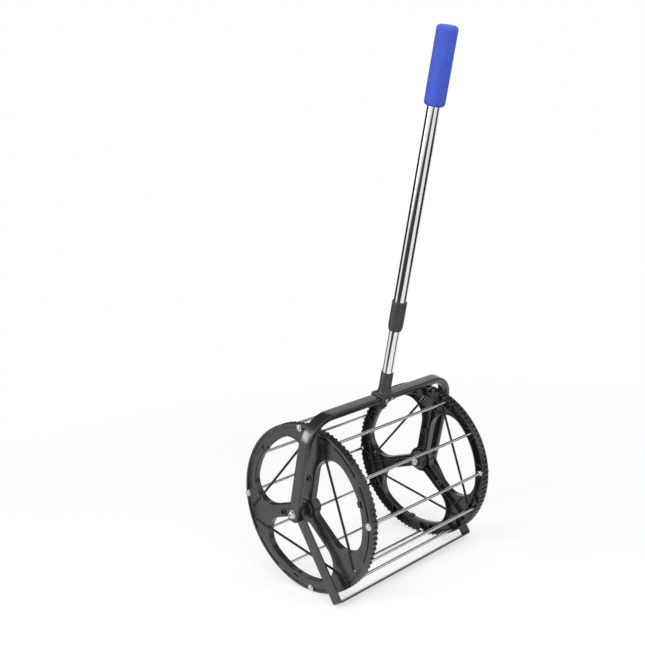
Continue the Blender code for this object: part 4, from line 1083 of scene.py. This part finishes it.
def hex_nut(node):
    """A six-sided nut with rounded corners, in a node's own box."""
    low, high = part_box(node)
    corner_radius = (high.z - low.z) / 2 - NUT_CORNER_GAP

    def make(shape):
        outer = circle_outline(shape, (0, 0), corner_radius, 0.0, 6)
        inner = circle_outline(shape, (0, 0), BOLT_RADIUS + BORE_GAP, 0.0, SMALL)
        fill(shape, outer + inner, (-1, 0, 0))
        thicken(shape, (high.x - low.x, 0, 0))
        beyond_bore = [vert for vert in shape.verts if math.hypot(vert.co.y, vert.co.z) > BOLT_RADIUS * 1.5]
        soften(shape, beyond_bore, NUT_ROUND)

    made = separate_shape(make)
    made.transform(Matrix.Translation((low.x, AXIS.y, AXIS.z)))
    return made


def hub_bush(length):
    """A flanged bush, its flange's outer face at x = 0."""
    bore = BOLT_RADIUS + GAP
    return turned([(bore, 0), (BUSH_FLANGE_RADIUS, 0), (BUSH_FLANGE_RADIUS, BUSH_FLANGE),
                   (BUSH_RADIUS, BUSH_FLANGE), (BUSH_RADIUS, length), (bore, length)], ROUND, BUSH_ROUND)


def dress_pivots():
    """What each bolt carries, from its head on the arm to its nut inside the hub."""
    rings = (("pivot_washer", WASHER_ROUND, ZINC, "zinc"),
             ("friction_washer", FRICTION_WASHER_ROUND, NYLON, "nylon"),
             ("spacer", SPACER_ROUND, FITTING, "fitting_black"))
    for side, place in SIDES.items():
        low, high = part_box(f"{side}_pivot_bolt")
        washer_low, washer_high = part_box(f"{side}_pivot_washer")
        head_under = max(abs(washer_low.x), abs(washer_high.x)) + GAP
        head_height = max(abs(low.x), abs(high.x)) - head_under
        bolt = cross_screw((high.z - low.z) / 2, head_height, BOLT_RADIUS, high.x - low.x - head_height)
        spot = Matrix.Translation((WHEEL_FACE - head_under, 0, 0)) @ about_axis(PIVOT_BOLT_TURN)
        piece(f"pivot_bolt_{side}", placed_copy(bolt, place @ spot), ZINC, "zinc", f"{side}_pivot_bolt")
        for kind, soft, finish, slot in rings:
            piece(f"{kind}_{side}", pivot_ring(f"{side}_{kind}", soft), finish, slot, f"{side}_{kind}")
        piece(f"pivot_nut_{side}", hex_nut(f"{side}_pivot_nut"), ZINC, "zinc", f"{side}_pivot_nut")
        low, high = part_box(f"{side}_hub_bush")
        spot = Matrix.Translation((WHEEL_FACE - max(abs(low.x), abs(high.x)), 0, 0))
        piece(f"hub_bush_{side}", placed_copy(hub_bush(high.x - low.x), place @ spot), NYLON, "nylon",
              f"{side}_hub_bush")


def cord_half(shape):
    """Half of a top window's cord, from its middle along the slot and back behind the face; gives its end."""
    ring = bmesh.ops.create_circle(shape, segments=COARSE, radius=CORD_RADIUS,
                                   matrix=Matrix.Translation(in_wheel(0, CORD_OFFSET, CORD_LEVEL))
                                   @ Matrix.Rotation(math.pi / 2, 4, "X"))["verts"]
    edges = list(edges_at(ring))
    straight = CORD_HALF - CORD_TURN
    for _ in range(CORD_STEPS):
        edges = grow_ring(shape, edges, (0, -straight / CORD_STEPS, 0))
    wrap = shape.loops.layers.uv.new("wrap")
    curl = bmesh.ops.spin(shape, geom=edges, cent=in_wheel(straight, CORD_OFFSET, CORD_LEVEL + CORD_TURN),
                          axis=(0, 0, 1), angle=-math.pi / 2, steps=CORD_TURN_STEPS)
    edges = grow_ring(shape, edges_in(curl["geom_last"]), (KNOT_LEVEL - CORD_LEVEL - CORD_TURN, 0, 0))
    for face in shape.faces:
        middle = face.calc_center_median()
        first = math.atan2(middle.z - CORD_OFFSET, middle.x - CORD_LEVEL) / math.tau
        for loop in face.loops:
            spot = loop.vert.co
            share = math.atan2(spot.z - CORD_OFFSET, spot.x - CORD_LEVEL) / math.tau
            share += round(first - share)
            loop[wrap].uv = (share, -spot.y)
    return edges


def knot(shape):
    """A pulled-tight knot: two turns of cord round a core, at the origin."""
    bmesh.ops.create_icosphere(shape, subdivisions=3, radius=KNOT_RADIUS * KNOT_CORE)
    for lift, tilt in KNOT_COILS:
        ring = bmesh.ops.create_circle(shape, segments=STRAND, radius=KNOT_RADIUS * KNOT_STRAND,
                                       matrix=Matrix.Translation((KNOT_RADIUS * KNOT_COIL, 0, 0))
                                       @ Matrix.Rotation(math.pi / 2, 4, "X"))["verts"]
        before = set(shape.verts) - set(ring)
        bmesh.ops.spin(shape, geom=ring + list(edges_at(ring)), cent=(0, 0, 0), axis=(0, 0, 1),
                       angle=math.tau, steps=KNOT_STEPS, use_merge=True)
        move(shape, Matrix.Translation((0, 0, KNOT_RADIUS * lift))
             @ Matrix.Rotation(math.radians(tilt), 4, "Y"), set(shape.verts) - before)


def window_cord():
    """A whole cord with its two knots, for a window at the top of the left wheel."""
    def make(shape):
        fill(shape, cord_half(shape), (1, 0, 0))
        add_mirrored(shape, "Y")

    tube = separate_shape(make)
    ball = separate_shape(knot)
    knots = [placed_copy(ball, Matrix.Translation(in_wheel(hand * CORD_HALF, CORD_OFFSET, KNOT_LEVEL))
                         @ Matrix.Rotation(math.pi / 2, 4, "Y")) for hand in (1, -1)]
    bpy.data.meshes.remove(ball)
    return gathered(tube, *knots)


def dress_cords():
    cord = window_cord()
    for side, place in SIDES.items():
        for number, angle in enumerate(WINDOW_ANGLES, 1):
            piece(f"window_cord_{side}_{number}", placed_copy(cord, place @ about_axis(angle)), BRAID, "cord",
                  f"{side}_window_cord_{number}")


def bar_section(shape, width, thickness, edge, across):
    """The outline of a bar's rounded rectangular section, level, at a distance from X = 0."""
    made = bmesh.ops.create_grid(shape, x_segments=1, y_segments=1, size=0.5)["verts"]
    bmesh.ops.scale(shape, verts=made, vec=(thickness, width, 1))
    bmesh.ops.bevel(shape, geom=made, offset=edge, segments=6, profile=0.5, affect="VERTICES", material=-1)
    bmesh.ops.delete(shape, geom=shape.faces[:], context="FACES_ONLY")
    bmesh.ops.translate(shape, verts=shape.verts, vec=(across, 0, 0))
    return shape.edges[:]


def bent_bar(half_span, reach, bend, width, thickness, edge, tail, tail_corner, steps):
    """A bar bent to a U that hangs from its cross bar: half of it is made and mirrored across X = 0."""
    def make(shape):
        section = bar_section(shape, width, thickness, edge, half_span)
        ring = grow_ring(shape, section, (0, 0, reach - bend))
        swung = bmesh.ops.spin(shape, geom=ring, cent=(half_span - bend, 0, reach - bend), axis=(0, 1, 0),
                               angle=-math.pi / 2, steps=steps)
        grow_ring(shape, edges_in(swung["geom_last"]), (bend - half_span, 0, 0))
        ring, drop, share, half = section, 0.0, 1.0, width / 2
        for sine, cosine in quarter_turn(END_STEPS):
            lower = tail - tail_corner + tail_corner * sine
            narrow = max((half - tail_corner + tail_corner * cosine) / half, NARROWEST_END)
            ring = grow_ring(shape, ring, (0, 0, drop - lower))
            bmesh.ops.scale(shape, verts=list(verts_of(ring)), vec=(1, narrow / share, 1))
            drop, share = lower, narrow
        fill(shape, ring, (0, 0, -1))
        add_mirrored(shape, "X")

    return separate_shape(make)


def dress_yoke():
    half = YOKE_THICKNESS / 2
    bar = bent_bar(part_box("yoke")[1].x - half, YOKE_TOP - half, YOKE_BEND - half, YOKE_WIDTH, YOKE_THICKNESS,
                   YOKE_EDGE, YOKE_TAIL, YOKE_TAIL_CORNER, YOKE_BEND_STEPS)
    piece("yoke_bar", placed_copy(bar, UP_POLE), PAINT, "frame_black", "yoke")


def dress_stand():
    half = STAND_THICKNESS / 2
    bar = bent_bar(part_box("stand")[1].x - half, STAND_REACH - half, STAND_BEND - half, STAND_WIDTH,
                   STAND_THICKNESS, STAND_EDGE, STAND_WIDTH / 2, STAND_WIDTH / 2, STAND_BEND_STEPS)
    sweep = Matrix.Translation(AXIS) @ Matrix.Rotation(math.pi - STAND_SWEEP, 4, "X")
    piece("stand_bar", placed_copy(bar, sweep), PAINT, "frame_black", "stand")


def up_pole(profile):
    """A profile of (radius, height up the pole) as (radius, depth) for turning."""
    return [(radius, -height) for radius, height in profile]


def saddle(shape):
    """A channel over the cross bar: its section is filled and drawn out along X."""
    low, high = YOKE_TOP - SADDLE_SKIRT, YOKE_TOP + SADDLE_TOP
    inner, outer = SADDLE_INSIDE / 2, SADDLE_INSIDE / 2 + SADDLE_WALL
    inside = YOKE_TOP + SADDLE_GAP
    section = ((-outer, low), (-outer, high), (outer, high), (outer, low), (inner, low), (inner, inside),
               (-inner, inside), (-inner, low))
    corners = [shape.verts.new((-SADDLE_LENGTH / 2, y, z)) for y, z in section]
    fill(shape, [shape.edges.new(pair) for pair in zip(corners, corners[1:] + corners[:1])], (-1, 0, 0))
    bmesh.ops.dissolve_limit(shape, angle_limit=math.radians(1), verts=shape.verts, edges=shape.edges)
    thicken(shape, (SADDLE_LENGTH, 0, 0))
    plate_middle, wall_middle = (inside + high) / 2, (inner + outer) / 2
    rounded = [edge for edge in shape.edges if all(vert.co.z > plate_middle for vert in edge.verts)
               or all(abs(vert.co.y) > wall_middle for vert in edge.verts)
               and edge.verts[0].co.y * edge.verts[1].co.y > 0]
    round_edges(shape, rounded, SADDLE_ROUND, segments=4, clamp=True)


def socket_tube():
    """The socket: a foot that flares into the saddle's top, and a tube with a softened lip."""
    foot = YOKE_TOP + SADDLE_TOP
    radius, lip, bore = SOCKET_RADIUS, SOCKET_LIP, LOWER_TUBE_RADIUS + BORE_GAP
    profile = [(bore, foot), (SOCKET_FOOT_RADIUS, foot - SOCKET_FOOT_SUNK), (SOCKET_FOOT_RADIUS, foot)]
    for sine, cosine in quarter_turn(DOME_STEPS, first=1):
        profile.append((radius + (SOCKET_FOOT_RADIUS - radius) * (1 - sine),
                        foot + SOCKET_FOOT_HEIGHT * (1 - cosine)))
    profile += [(radius, SOCKET_TOP - lip), (radius - lip * 0.3, SOCKET_TOP - lip * 0.3),
                (radius - lip, SOCKET_TOP), (LOWER_TUBE_RADIUS + GAP, SOCKET_TOP), (bore, SOCKET_TOP - lip)]
    return turned(up_pole(profile), FINE)


def dress_socket():
    """The saddle on the cross bar, the socket that holds the lower tube, and their screws."""
    body, tube = separate_shape(saddle), socket_tube()
    body.transform(UP_POLE)
    tube.transform(DOWN_POLE)
    piece("socket", gathered(body, tube), FITTING, "fitting_black", "pole_socket")

    from_front = Matrix.Rotation(math.pi / 2, 4, "Z")
    for hand, side in ((-1, "left"), (1, "right")):
        spot = Matrix.Translation((hand * SADDLE_SCREW_OFFSET, -(SADDLE_INSIDE / 2 + SADDLE_WALL + GAP),
                                   YOKE_TOP - YOKE_THICKNESS / 2))
        turn = about_axis(SADDLE_SCREW_TURN * hand)
        screw = placed_copy(cross_screw(**SADDLE_SCREW), UP_POLE @ spot @ from_front @ turn)
        piece(f"saddle_screw_{side}", screw, ZINC, "zinc", f"{side}_saddle_screw")

    low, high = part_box("socket_bolt")
    bolt = cross_screw(**SOCKET_BOLT, length=high.x - low.x - SOCKET_BOLT["head_height"])
    spot = Matrix.Translation((SOCKET_RADIUS + GAP, 0, YOKE_TOP + SOCKET_BOLT_RISE))
    from_right = Matrix.Rotation(math.pi, 4, "Z")
    placed = placed_copy(bolt, UP_POLE @ spot @ from_right @ about_axis(SOCKET_BOLT_TURN))
    piece("socket_cross_bolt", placed, ZINC, "zinc", "socket_bolt")


def plain_tube(radius, wall, bottom, top):
    soft = wall * TUBE_END_SOFT
    return turned(up_pole([(radius - wall, bottom), (radius - soft, bottom), (radius, bottom + soft),
                           (radius, top - soft), (radius - soft, top), (radius - wall, top)]), FINE)


def holed_tube(radius, wall, bottom, top, heights):
    """A tube along Z with round holes in its +X side, each ringed by a patch of faces rounded to it."""
    patch_steps = 10
    width = math.tau * radius / FINE * patch_steps

    def round_hole(shape, reach, height, before):
        """Pulls a square patch's rim to the hole's circle and takes the patch out; gives the rim."""
        patch = [face for face in shape.faces
                 if face.verts[0] not in before and face.calc_center_median().x > 0
                 and abs(face.calc_center_median().y) < width / 2 * reach / radius
                 and abs(face.calc_center_median().z - height) < width / 2]
        rim = [edge for face in patch for edge in face.edges
               if sum(other in patch for other in edge.link_faces) == 1]
        for vert in verts_of(rim):
            away = Vector((vert.co.y, vert.co.z - height))
            scale = HOLE_RADIUS / away.length
            y = away.x * scale
            vert.co = (math.sqrt(reach ** 2 - y ** 2), y, height + away.y * scale)
        bmesh.ops.delete(shape, geom=patch, context="FACES")
        return [edge for edge in rim if edge.is_valid]

    def skin(shape, reach):
        """One wall of the tube with its holes; gives the rings of edges of its holes and ends."""
        before = set(shape.verts)
        levels = [bottom]
        for height in heights:
            levels += [height - width / 2 + width * part / patch_steps for part in range(patch_steps + 1)]
        levels.append(top)
        corners = [shape.verts.new((reach, 0, level)) for level in levels]
        edges = [shape.edges.new(pair) for pair in zip(corners, corners[1:])]
        bmesh.ops.spin(shape, geom=corners + edges, cent=(0, 0, 0), axis=(0, 0, 1), angle=math.tau,
                       steps=FINE, use_merge=True)
        rings = [round_hole(shape, reach, height, before) for height in heights]
        ends = [[edge for edge in shape.edges if edge.is_boundary and edge.verts[0] not in before
                 and all(abs(vert.co.z - level) < SAME_PLACE for vert in edge.verts)]
                for level in (bottom, top)]
        return rings + ends

    def make(shape):
        for outer, inner in zip(skin(shape, radius), skin(shape, radius - wall)):
            bmesh.ops.bridge_loops(shape, edges=outer + inner)

    return separate_shape(make)


def dress_tubes():
    lower = plain_tube(LOWER_TUBE_RADIUS, LOWER_TUBE_WALL, LOWER_TUBE_BOTTOM, LOWER_TUBE_TOP)
    piece("tube_lower", placed_copy(lower, DOWN_POLE), TUBE_STEEL, "bright_steel", "lower_tube")
    holes = [BUTTON_HEIGHT + HOLE_PITCH * hole for hole in range(HOLE_COUNT)]
    upper = holed_tube(UPPER_TUBE_RADIUS, UPPER_TUBE_WALL, SLEEVE_SHOULDER, GRIP_TOP - GRIP_CLOSED_END - GAP,
                       holes)
    piece("tube_upper", placed_copy(upper, UP_POLE), TUBE_STEEL, "bright_steel", "upper_tube")


def dress_button():
    """The snap button: a flange inside the lower tube and a domed tip towards the hole."""
    low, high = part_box("snap_button")
    base = high.x - low.x
    radius = BUTTON_DOME[0][0]
    button = turned([(0, base), (BUTTON_FLANGE_RADIUS, base), (BUTTON_FLANGE_RADIUS, base - BUTTON_FLANGE),
                     (radius, base - BUTTON_FLANGE), *BUTTON_DOME, (0, 0)], SMALL)
    spot = Matrix.Translation((high.x, 0, BUTTON_HEIGHT)) @ Matrix.Rotation(math.pi, 4, "Z")
    piece("button", placed_copy(button, UP_POLE @ spot), ZINC, "zinc", "snap_button")


def dress_sleeve():
    """The clamp sleeve: a bullet nose, a fine groove near its top, and a shoulder for the upper tube."""
    radius, top, soft = SLEEVE_RADIUS, SLEEVE_TOP, SLEEVE_ROUND
    slide, mouth = LOWER_TUBE_RADIUS + GAP, LOWER_TUBE_RADIUS + SLEEVE_MOUTH
    bore = UPPER_TUBE_RADIUS + BORE_GAP
    profile = [(slide, SLEEVE_BOTTOM + SLEEVE_MOUTH_ROUND[1]), (mouth - SLEEVE_MOUTH_ROUND[0], SLEEVE_BOTTOM)]
    for sine, cosine in quarter_turn(NOSE_STEPS):
        profile.append((mouth + (radius - mouth) * sine, SLEEVE_BOTTOM + SLEEVE_NOSE * (1 - cosine)))
    groove_low, groove_high = SLEEVE_GROOVE
    profile += [(radius, top - groove_low),
                (radius - SLEEVE_GROOVE_DEPTH, top - groove_low + SLEEVE_GROOVE_SLOPE),
                (radius - SLEEVE_GROOVE_DEPTH, top - groove_high - SLEEVE_GROOVE_SLOPE),
                (radius, top - groove_high), (radius, top - soft), (radius - soft / 3, top - soft / 3),
                (radius - soft, top), (UPPER_TUBE_RADIUS + GAP, top), (bore, top - SLEEVE_BORE_LEAD),
                (bore, SLEEVE_SHOULDER), (slide, SLEEVE_SHOULDER)]
    sleeve = turned(up_pole(profile), FINE)
    piece("sleeve", placed_copy(sleeve, DOWN_POLE), FITTING, "fitting_black", "lock_sleeve")


def grip_dent(share):
    """How far the foam has sunk at a share of its length: soft ripples and two creases."""
    ripples = sum(depth * (1 + math.sin(share * rate + start)) for depth, rate, start in GRIP_RIPPLES)
    return ripples + sum(GRIP_CREASE_DEPTH * math.exp(-((share - crease) / GRIP_CREASE_WIDTH) ** 2)
                         for crease in GRIP_CREASES)


def dress_grip():
    """The foam grip: round-ended, closed at the top, a little uneven along its length."""
    corner = GRIP_END_ROUND
    flat = GRIP_RADIUS - corner
    length = GRIP_LENGTH - 2 * corner
    shell = [(UPPER_TUBE_RADIUS + off, GRIP_BOTTOM + up) for off, up in GRIP_LIP]
    for sine, cosine in quarter_turn(END_STEPS):
        shell.append((flat + corner * sine, GRIP_BOTTOM + corner * (1 - cosine)))
    for ring in range(1, GRIP_RINGS):
        share = ring / GRIP_RINGS
        shell.append((GRIP_RADIUS - grip_dent(share), GRIP_BOTTOM + corner + length * share))
    for sine, cosine in quarter_turn(END_STEPS):
        shell.append((flat + corner * cosine, GRIP_TOP - corner * (1 - sine)))
    end = GRIP_TOP - GRIP_CLOSED_END
    shell += [(0, GRIP_TOP), (0, end), (UPPER_TUBE_RADIUS + GRIP_LIP[0][0], end)]
    grip = turned(up_pole(shell), FINE)
    made = piece("grip", placed_copy(grip, DOWN_POLE), FOAM, "foam", "foam_grip")


def dress_hidden_nodes():
    """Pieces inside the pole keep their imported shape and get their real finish."""
    for node, finish in (("lower_tube_plug", NYLON), ("upper_tube_plug", NYLON), ("button_spring", SPRING)):
        mesh = frame["nodes"][node].data
        for place in range(len(mesh.materials)):
            mesh.materials[place] = finish


# Studio
CAMERA_FROM_AXIS = Vector((-1.2068, -1.0916, 0.5722))
CAMERA_AZIMUTH = -45.76
CAMERA_ELEVATION = 10.20
CAMERA_ROLL = -3.83
CAMERA_LENS = 55.81
CAMERA_SENSOR = 36.0
WHITE = (1.0, 1.0, 1.0, 1.0)
SOFT_LIGHT = 0.25
PAPER_GREY = (0.46, 0.46, 0.46)
PAPER_ROUGHNESS = 0.9
FLOOR_SIZE = 30.0
FLOOR_LEVEL = -0.0005
FLOOR_LIFT = 0.62
FLOOR_FADE = (0.5, 1.3)             # distances between which the floor goes over to its own white
WEDGE_HEIGHT = 0.0005
LAMP_AIM = Vector((0, 0, 0.25))


def set_camera():
    lens = bpy.data.cameras.new("camera")
    lens.sensor_width = CAMERA_SENSOR
    lens.lens = CAMERA_LENS
    camera = bpy.data.objects.new("camera", lens)
    camera.matrix_world = (Matrix.Translation(AXIS + CAMERA_FROM_AXIS)
                           @ Matrix.Rotation(math.radians(CAMERA_AZIMUTH), 4, "Z")
                           @ Matrix.Rotation(math.radians(90.0 - CAMERA_ELEVATION), 4, "X")
                           @ Matrix.Rotation(math.radians(CAMERA_ROLL), 4, "Z"))
    bpy.context.collection.objects.link(camera)
    bpy.context.scene.camera = camera


def seen_directly(tree):
    """1 for what the camera sees straight, in a mirror or through glass."""
    path = add(tree, "LightPath")
    straight = worked_out(tree, "MAXIMUM", path.outputs["Is Camera Ray"], path.outputs["Is Glossy Ray"])
    return worked_out(tree, "MAXIMUM", straight, path.outputs["Is Transmission Ray"])


def mix_shaders(tree, amount, first, second, output):
    """Shows the first shader at 0 and the second at 1."""
    mix = add(tree, "MixShader")
    tree.links.new(amount, mix.inputs["Fac"])
    tree.links.new(first, mix.inputs[1])
    tree.links.new(second, mix.inputs[2])
    tree.links.new(mix.outputs["Shader"], tree.nodes[output].inputs["Surface"])


def white_world():
    world = bpy.data.worlds.new("studio")
    world.use_nodes = True
    tree = world.node_tree
    soft = tree.nodes["Background"]
    soft.inputs["Color"].default_value = WHITE
    soft.inputs["Strength"].default_value = SOFT_LIGHT
    white = add(tree, "Background", inputs={"Color": WHITE, "Strength": 1.0})
    mix_shaders(tree, seen_directly(tree), soft.outputs["Background"], white.outputs["Background"],
                "World Output")
    bpy.context.scene.world = world


def sheet_of(name, size, place, finish):
    """A flat sheet of the stage, of a width and a depth."""
    shape = bmesh.new()
    bmesh.ops.create_grid(shape, x_segments=1, y_segments=1, size=0.5)
    bmesh.ops.scale(shape, verts=shape.verts, vec=(*size, 1))
    move(shape, place)
    mesh = as_mesh(shape, name)
    mesh.materials.append(finish)
    made = bpy.data.objects.new(name, mesh)
    bpy.context.collection.objects.link(made)
    return made


def white_floor():
    """Pale paper: near the object it shows the shadow that falls on it, further off only its own white."""
    made, tree, shader = new_finish("paper", PAPER_GREY, PAPER_ROUGHNESS)
    place = add(tree, "TexCoord")
    distance = add(tree, "VectorMath", operation="LENGTH")
    tree.links.new(place.outputs["Object"], distance.inputs[0])
    seen = seen_directly(tree)
    lift = add(tree, "Emission", inputs={"Color": WHITE})
    tree.links.new(worked_out(tree, "MULTIPLY", seen, FLOOR_LIFT), lift.inputs["Strength"])
    near = add(tree, "AddShader")
    tree.links.new(shader.outputs["BSDF"], near.inputs[0])
    tree.links.new(lift.outputs["Emission"], near.inputs[1])
    fade = between(tree, distance.outputs["Value"], 0.0, 1.0, FLOOR_FADE)
    glow = add(tree, "Emission", inputs={"Color": WHITE, "Strength": 1.0})
    mix_shaders(tree, worked_out(tree, "MULTIPLY", seen, fade), near.outputs["Shader"],
                glow.outputs["Emission"], "Material Output")
    sheet_of("floor", (FLOOR_SIZE, FLOOR_SIZE), Matrix.Translation((0, 0, FLOOR_LEVEL)), made)


def dark_card(name, place, size, brightness):
    """A dark card beside the camera's view: only what shines shows it, as the dark lines in the steel."""
    made = bpy.data.materials.new(name)
    made.use_nodes = True
    tree = made.node_tree
    tree.nodes.remove(tree.nodes["Principled BSDF"])
    glow = add(tree, "Emission", inputs={"Color": (brightness, brightness, brightness, 1.0), "Strength": 1.0})
    tree.links.new(glow.outputs["Emission"], tree.nodes["Material Output"].inputs["Surface"])
    card = sheet_of(name, size, place, made)
    card.visible_camera = False
    card.visible_diffuse = False
    card.visible_shadow = False
    card.visible_transmission = False
    return card


def around(direction, distance, height):
    """A place about the object, its direction in degrees to the right of the camera's."""
    turn = Matrix.Rotation(math.radians(CAMERA_AZIMUTH + direction), 4, "Z")
    return turn @ Matrix.Translation((0, -distance, height))


def upright(direction, distance, height):
    """Where a card stands up and faces the object."""
    return around(direction, distance, height) @ Matrix.Rotation(math.pi / 2, 4, "X")


def dark_wedge(name, directions, reach, brightness):
    """A dark card on the floor, wider further off, so that its line keeps its place all along the pole."""
    card = dark_card(name, Matrix(), (1.0, 1.0), brightness)
    for vert in card.data.vertices:
        place = around(directions[vert.co.x > 0], reach[vert.co.y > 0], WEDGE_HEIGHT)
        vert.co = place.to_translation()


def dark_cards():
    """Upright and floor cards; the pole leans forward, so most of what it mirrors lies on the floor."""
    dark_card("card_left_back", upright(-146.0, 1.1, 1.1), (1.15, 2.2), brightness=0.02)
    dark_card("card_left_back_high", upright(-115.0, 1.25, 1.25), (0.8, 1.9), brightness=0.02)
    dark_wedge("card_left_back_floor", (-175.0, -94.0), (0.36, 1.3), brightness=0.02)
    dark_wedge("card_front_floor", (-66.0, 9.0), (0.90, 3.6), brightness=0.045)
    dark_wedge("card_left_front_floor", (-62.0, -24.0), (0.66, 1.2), brightness=0.045)
    dark_wedge("card_right_near_floor", (70.0, 103.0), (0.24, 0.93), brightness=0.06)
    dark_wedge("card_right_floor", (62.0, 120.0), (0.92, 2.8), brightness=0.03)
    dark_card("card_right_high", upright(126.0, 1.30, 1.26), (1.38, 1.0), brightness=0.02)
    dark_card("card_overhead", around(0.0, 0.0, 2.1), (3.6, 3.6), brightness=0.03)


def lamp(name, place, width, height, power, in_gloss=True):
    """A rectangular lamp that points at the object; in_gloss tells if what shines shows it."""
    light = bpy.data.lights.new(name, "AREA")
    light.shape = "RECTANGLE"
    light.size, light.size_y = width, height
    light.energy = power
    made = bpy.data.objects.new(name, light)
    spot = place.to_translation()
    aim = LAMP_AIM - spot
    made.matrix_world = Matrix.Translation(spot) @ aim.to_track_quat("-Z", "Y").to_matrix().to_4x4()
    bpy.context.collection.objects.link(made)
    made.visible_camera = False
    made.visible_glossy = in_gloss


def light_studio():
    lamp("key_softbox", around(-50.0, 1.95, 1.45), 1.0, 1.0, power=9)
    lamp("side_strip", around(-76.0, 2.1, 1.0), 0.36, 1.0, power=14)
    lamp("overhead", around(40.0, 0.4, 2.4), 1.6, 1.6, power=16, in_gloss=False)
    lamp("fill", around(20.0, 1.95, 1.45), 1.0, 1.0, power=18, in_gloss=False)
    lamp("high_fill", around(60.0, 0.65, 1.35), 0.5, 0.5, power=1.6, in_gloss=False)


dress_wheels()
dress_rods()
dress_rim_screws()
dress_pivots()
dress_cords()
dress_yoke()
dress_stand()
dress_socket()
dress_tubes()
dress_button()
dress_sleeve()
dress_grip()
dress_hidden_nodes()

set_camera()
white_world()
white_floor()
dark_cards()
light_studio()
bpy.context.scene.view_settings.view_transform = "Standard"
